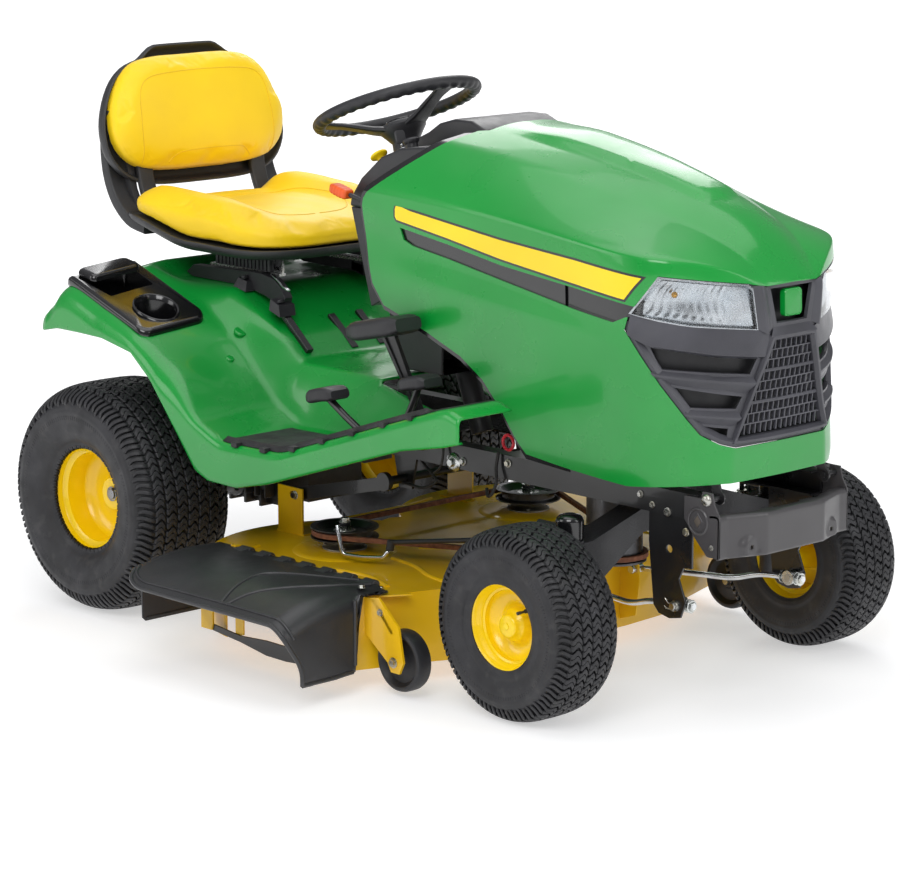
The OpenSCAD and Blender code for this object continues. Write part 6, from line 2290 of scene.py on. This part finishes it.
def build_bumper():
    ys = [-188 + 376 * k / 94 for k in range(95)]
    section = [(-26, 407), (-20, 408.5), (-10, 409), (-5, 408), (-1.5, 405), (0, 400), (0, 392)]
    section += [(0, 388 - 2.6 * k) for k in range(24)] + [(-1.5, 324.5), (-6, 323)]
    v = []
    for y in ys:
        x0 = bumper_face(y)
        for dx, z in section:
            x = x0 + dx
            r = math.hypot(abs(y) - PAD_HOLE_Y, z - PAD_HOLE_Z)
            if dx == 0:
                x = lerp(1551.5, x, smooth((r - 17) / 9))
            if dx < -8 and abs(y) < 150:
                x -= 8 * smooth((24 - abs(abs(y) - 60)) / 10)
            v.append((x, y, z))

    def solid_there(face):
        y, z = (sum(v[i][c] for i in face) / 4 for c in (1, 2))
        return math.hypot(abs(y) - PAD_HOLE_Y, z - PAD_HOLE_Z) >= 4.5

    f = [q for q in quads(len(ys), len(section), False, False) if solid_there(q)]
    keep = {i: k for k, i in enumerate(sorted({i for q in f for i in q}))}
    piece("bumper_face", [v[i] for i in keep], [tuple(keep[i] for i in q) for q in f], BUMPER_PAINT,
          "chassis",
          closed=False, stands_for=("front_bumper",), solid=4)
    p = Part()
    p.plate([(1440, 392), (1440, 438), (1484, 438), (1486, 452), (1512, 452), (1518, 430), (1531, 408),
             (1531, 326),
             (1500, 326), (1470, 356)], 184.3, 188)
    p.ring([(21, 0), (22, 2.6), (25, 3.2), (28, 0)], (1476, 188, 392), (0, 1, 0), 40)
    diamond = ((0, 17), (13, 0), (0, -17), (-13, 0))
    p.loft([[(1476 + s * x, 187.5 + h, 392 + s * z) for x, z in diamond] for s, h in ((1, 0), (0.92, 1.6))])
    p.mirrored().make("bumper_side_plates", BUMPER_PAINT, "chassis", bevel=0.8)
    p = Part()
    p.loft([[(1476 + s * x, 189 + h, 392 + s * z) for x, z in diamond] for s, h in ((0.7, 0), (0.66, 0.8))])
    p.mirrored().make("bumper_keyholes", EXHAUST, "chassis")
    p = Part()
    p.lathe([(12, 0), (12, 2), (10.5, 5), (7, 7), (0.5, 7.6)], (1499, 188, 437), (0, 1, 0), 28)
    for x, y, z, r, h in ((1446, 188.2, 366, 6, 4), (1512, 188.2, 346, 4, 3), (1392, 182.4, 396, 6.5, 5),
                          (1320, 182.4, 420, 5.5, 4), (1352, 182.4, 404, 5, 4), (952, 182.4, 424, 6.5, 5),
                          (820, 182.4, 408, 6.5, 5)):
        p.bolt((x, y, z), (0, 1, 0), r, h)
    p.mirrored().make("frame_bolts", BOLT, "chassis", sharp=40)
    p = Part()
    p.lathe([(20, -3), (20, 0), (17, 1.5), (12, 4)], (792, -184, 402), (0, -1, 0), 36)
    p.bolt((792, -186.5, 402), (0, -1, 0), 9, 7)
    p.make("pivot_bolt", ZINC, "chassis", sharp=40)


def build_rods():
    p = Part()
    p.rod([(1444, 160, 213), (1396, 160, 211), (1330, 159, 206), (1268, 150, 186), (1180, 130, 184),
           (1090, 116, 178),
           (1046, 112, 174)], 6, 14, bend=40)
    p.lathe([(8, -26), (9.5, -24), (9.5, 6)], (1040, 112, 174), (0, 1, 0), 20)
    p.mirrored().make("lift_rods", CHROME, "draft_linkage", stands_for=("draft_rods",), sharp=40)
    p = Part()
    p.lathe([(15, -9), (15, 9)], (1410, 160, 212), (0, 1, 0), 28)
    for x in (1428, 1437):
        p.bolt((x, 160, 212.6), (1, 0, 0), 10, 5)
    p.bolt((1392, 160, 211), (-1, 0, 0), 10, 5)
    p.mirrored().make("rod_trunnions", ZINC, "draft_linkage", bevel=0.6)
    p = Part()
    p.lathe([(7.9, -10), (7.9, 26), (6.6, 28)], (1410, 160, 212), (0, 1, 0), 24)
    p.lathe([(11, 17.2), (11, 19)], (1410, 160, 212), (0, 1, 0), 24)
    loop = [(1410 + 9 * math.cos(k * math.pi / 8), 183, 212 + 9 * math.sin(k * math.pi / 8))
            for k in range(15)]
    p.rod(loop + [(1392, 184, 206), (1388, 184, 210)], 1.3, 8)
    p.rod([(1396, 183, 222), (1388, 183, 226), (1396, 183, 217), (1412, 183, 214)], 1.3, 8)
    p.lathe([(12, -54), (12, 54)], (1240, 0, 356), (1, 0, 0), 28)
    p.bolt((1294, 0, 356), (1, 0, 0), 14, 9)
    p.mirrored().make("pins_and_clips", BOLT, "chassis", stands_for=("bolts_and_pins",), sharp=40)
    for side, s in (("right", -1), ("left", 1)):
        p = Part()
        p.lathe([(24.6, 336), (27.4, 338), (27.6, 372), (26, 378), (21, 382.5), (12, 385.5), (6, 386),
                 (0.5, 386)],
                (1240, s * 296, 0), (0, 0, 1), 44)
        p.make(f"kingpin_cap_{side}", GLOSS_BLACK, f"steer_{side}", sharp=50)
    p = Part()
    p.rod([(930, -188, 446), (926, -192, 410), (934, -196, 384), (922, -200, 356), (908, -198, 350),
           (900, -192, 366)],
          3.4, 10, bend=14)
    p.rod([(600, -150, 418), (690, -170, 380), (740, -176, 352), (700, -184, 332), (620, -190, 340)], 3, 10,
          bend=16)
    p.rod([(764, -188, 450), (772, -192, 420), (764, -192, 388), (740, -190, 372)], 2.6, 10, bend=12)
    p.make("wiring_loom", WIRE, "chassis")
    p = Part()
    centre, n, m = Vector((962, -192, 470)), 32, 10
    v = []
    for i in range(n):
        a = 2 * math.pi * i / n
        for j in range(m):
            b = 2 * math.pi * j / m
            r = 15 + 3.4 * math.cos(b)
            v.append(centre + Vector((r * math.cos(a), 3.4 * math.sin(b), r * math.sin(a))))
    p.add(v, quads(n, m, True))
    p.make("pull_ring", RED, "chassis")


def build_underside():
    p = Part()
    for s in (-1, 1):
        for k in range(7):
            x = -70 + 34 * k
            p.box(x, x + 6, *sorted((s * 112, s * 138)), 214, 300)
        p.lathe([(58, 112), (58, 124), (40, 150), (36, 190), (46, 200), (46, 232)], (0, 0, 254), (0, s, 0),
                40)
        p.lathe([(34, 0), (34, 14), (18, 22)], (110, s * 112, 262), (0, s, 0), 28)
    p.make("transaxle_ribs", AXLE_PAINT, "chassis", bevel=1.2)
    p = Part()
    for x, z, w, h in ((262, 356, 60, 50), (340, 348, 46, 40), (396, 362, 52, 30)):
        p.loft([[(x + u, y, z + q) for u, q in rounded_rect(w / 2, h / 2, 7, 3)] for y in (-146, -112, -96)])
    p.box(236, 470, -140, -60, 344, 372)
    p.make("hydro_cooler", AXLE_PAINT, "chassis", slot="black_plastic", bevel=1.0)


build_bumper()
build_rods()
build_underside()

# ---------- pieces that keep the CAD's own shape ----------
for row in (
    ("frame_rails", BLACK_PAINT, "black_paint", 1.0),
    ("draft_hangers", BLACK_PAINT, "black_paint", 0.8),
    ("engine_block", ALLOY, "engine_alloy", 1.5),
    ("blower_housing", BLACK, "black_plastic", 2.0),
    ("muffler", EXHAUST, "bare_steel", 2.0),
    ("battery", BLACK, "black_plastic", 3.0),
    ("fuel_tank", TANK, "tank_plastic", 8.0),
    ("fuel_cap", BLACK, "black_plastic", 1.5),
    ("clutch_pulley", PULLEY, "bare_steel", 0.8),
    ("transaxle", AXLE_PAINT, "engine_alloy", 2.0),
    ("seat_carriage", ZINC, "zinc_steel", 0.8),
    ("dash_tower", BLACK, "black_plastic", 3.0),
    ("steering_column", BLACK, "black_plastic", 1.0),
    ("hood_hinge", BLACK_PAINT, "black_paint", 0.8),
    ("front_axle", AXLE_PAINT, "black_paint", 3.0),
    ("knuckle_right", AXLE_PAINT, "black_paint", 1.5),
    ("knuckle_left", AXLE_PAINT, "black_paint", 1.5),
    ("tie_rod", ZINC, "zinc_steel", 0.8),
    ("mower_deck", DECK_YELLOW, "yellow_paint", 1.5),
    ("spindle_right", PULLEY, "bare_steel", 0.6),
    ("spindle_left", PULLEY, "bare_steel", 0.6),
    ("deck_belt", BELT, "belt_rubber", 0.6),
    ("lift_arms", BLACK_PAINT, "black_paint", 1.2),
    ("drive_belt", DRIVE_BELT, "belt_rubber", 0.6),
    ("input_pulley", PULLEY, "bare_steel", 0.8),
):
    refine(*row)

with open("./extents.json", "w") as f:
    json.dump({"cad": [list(p) for p in cad_box], "visual": [list(p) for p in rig.bounds()]}, f)
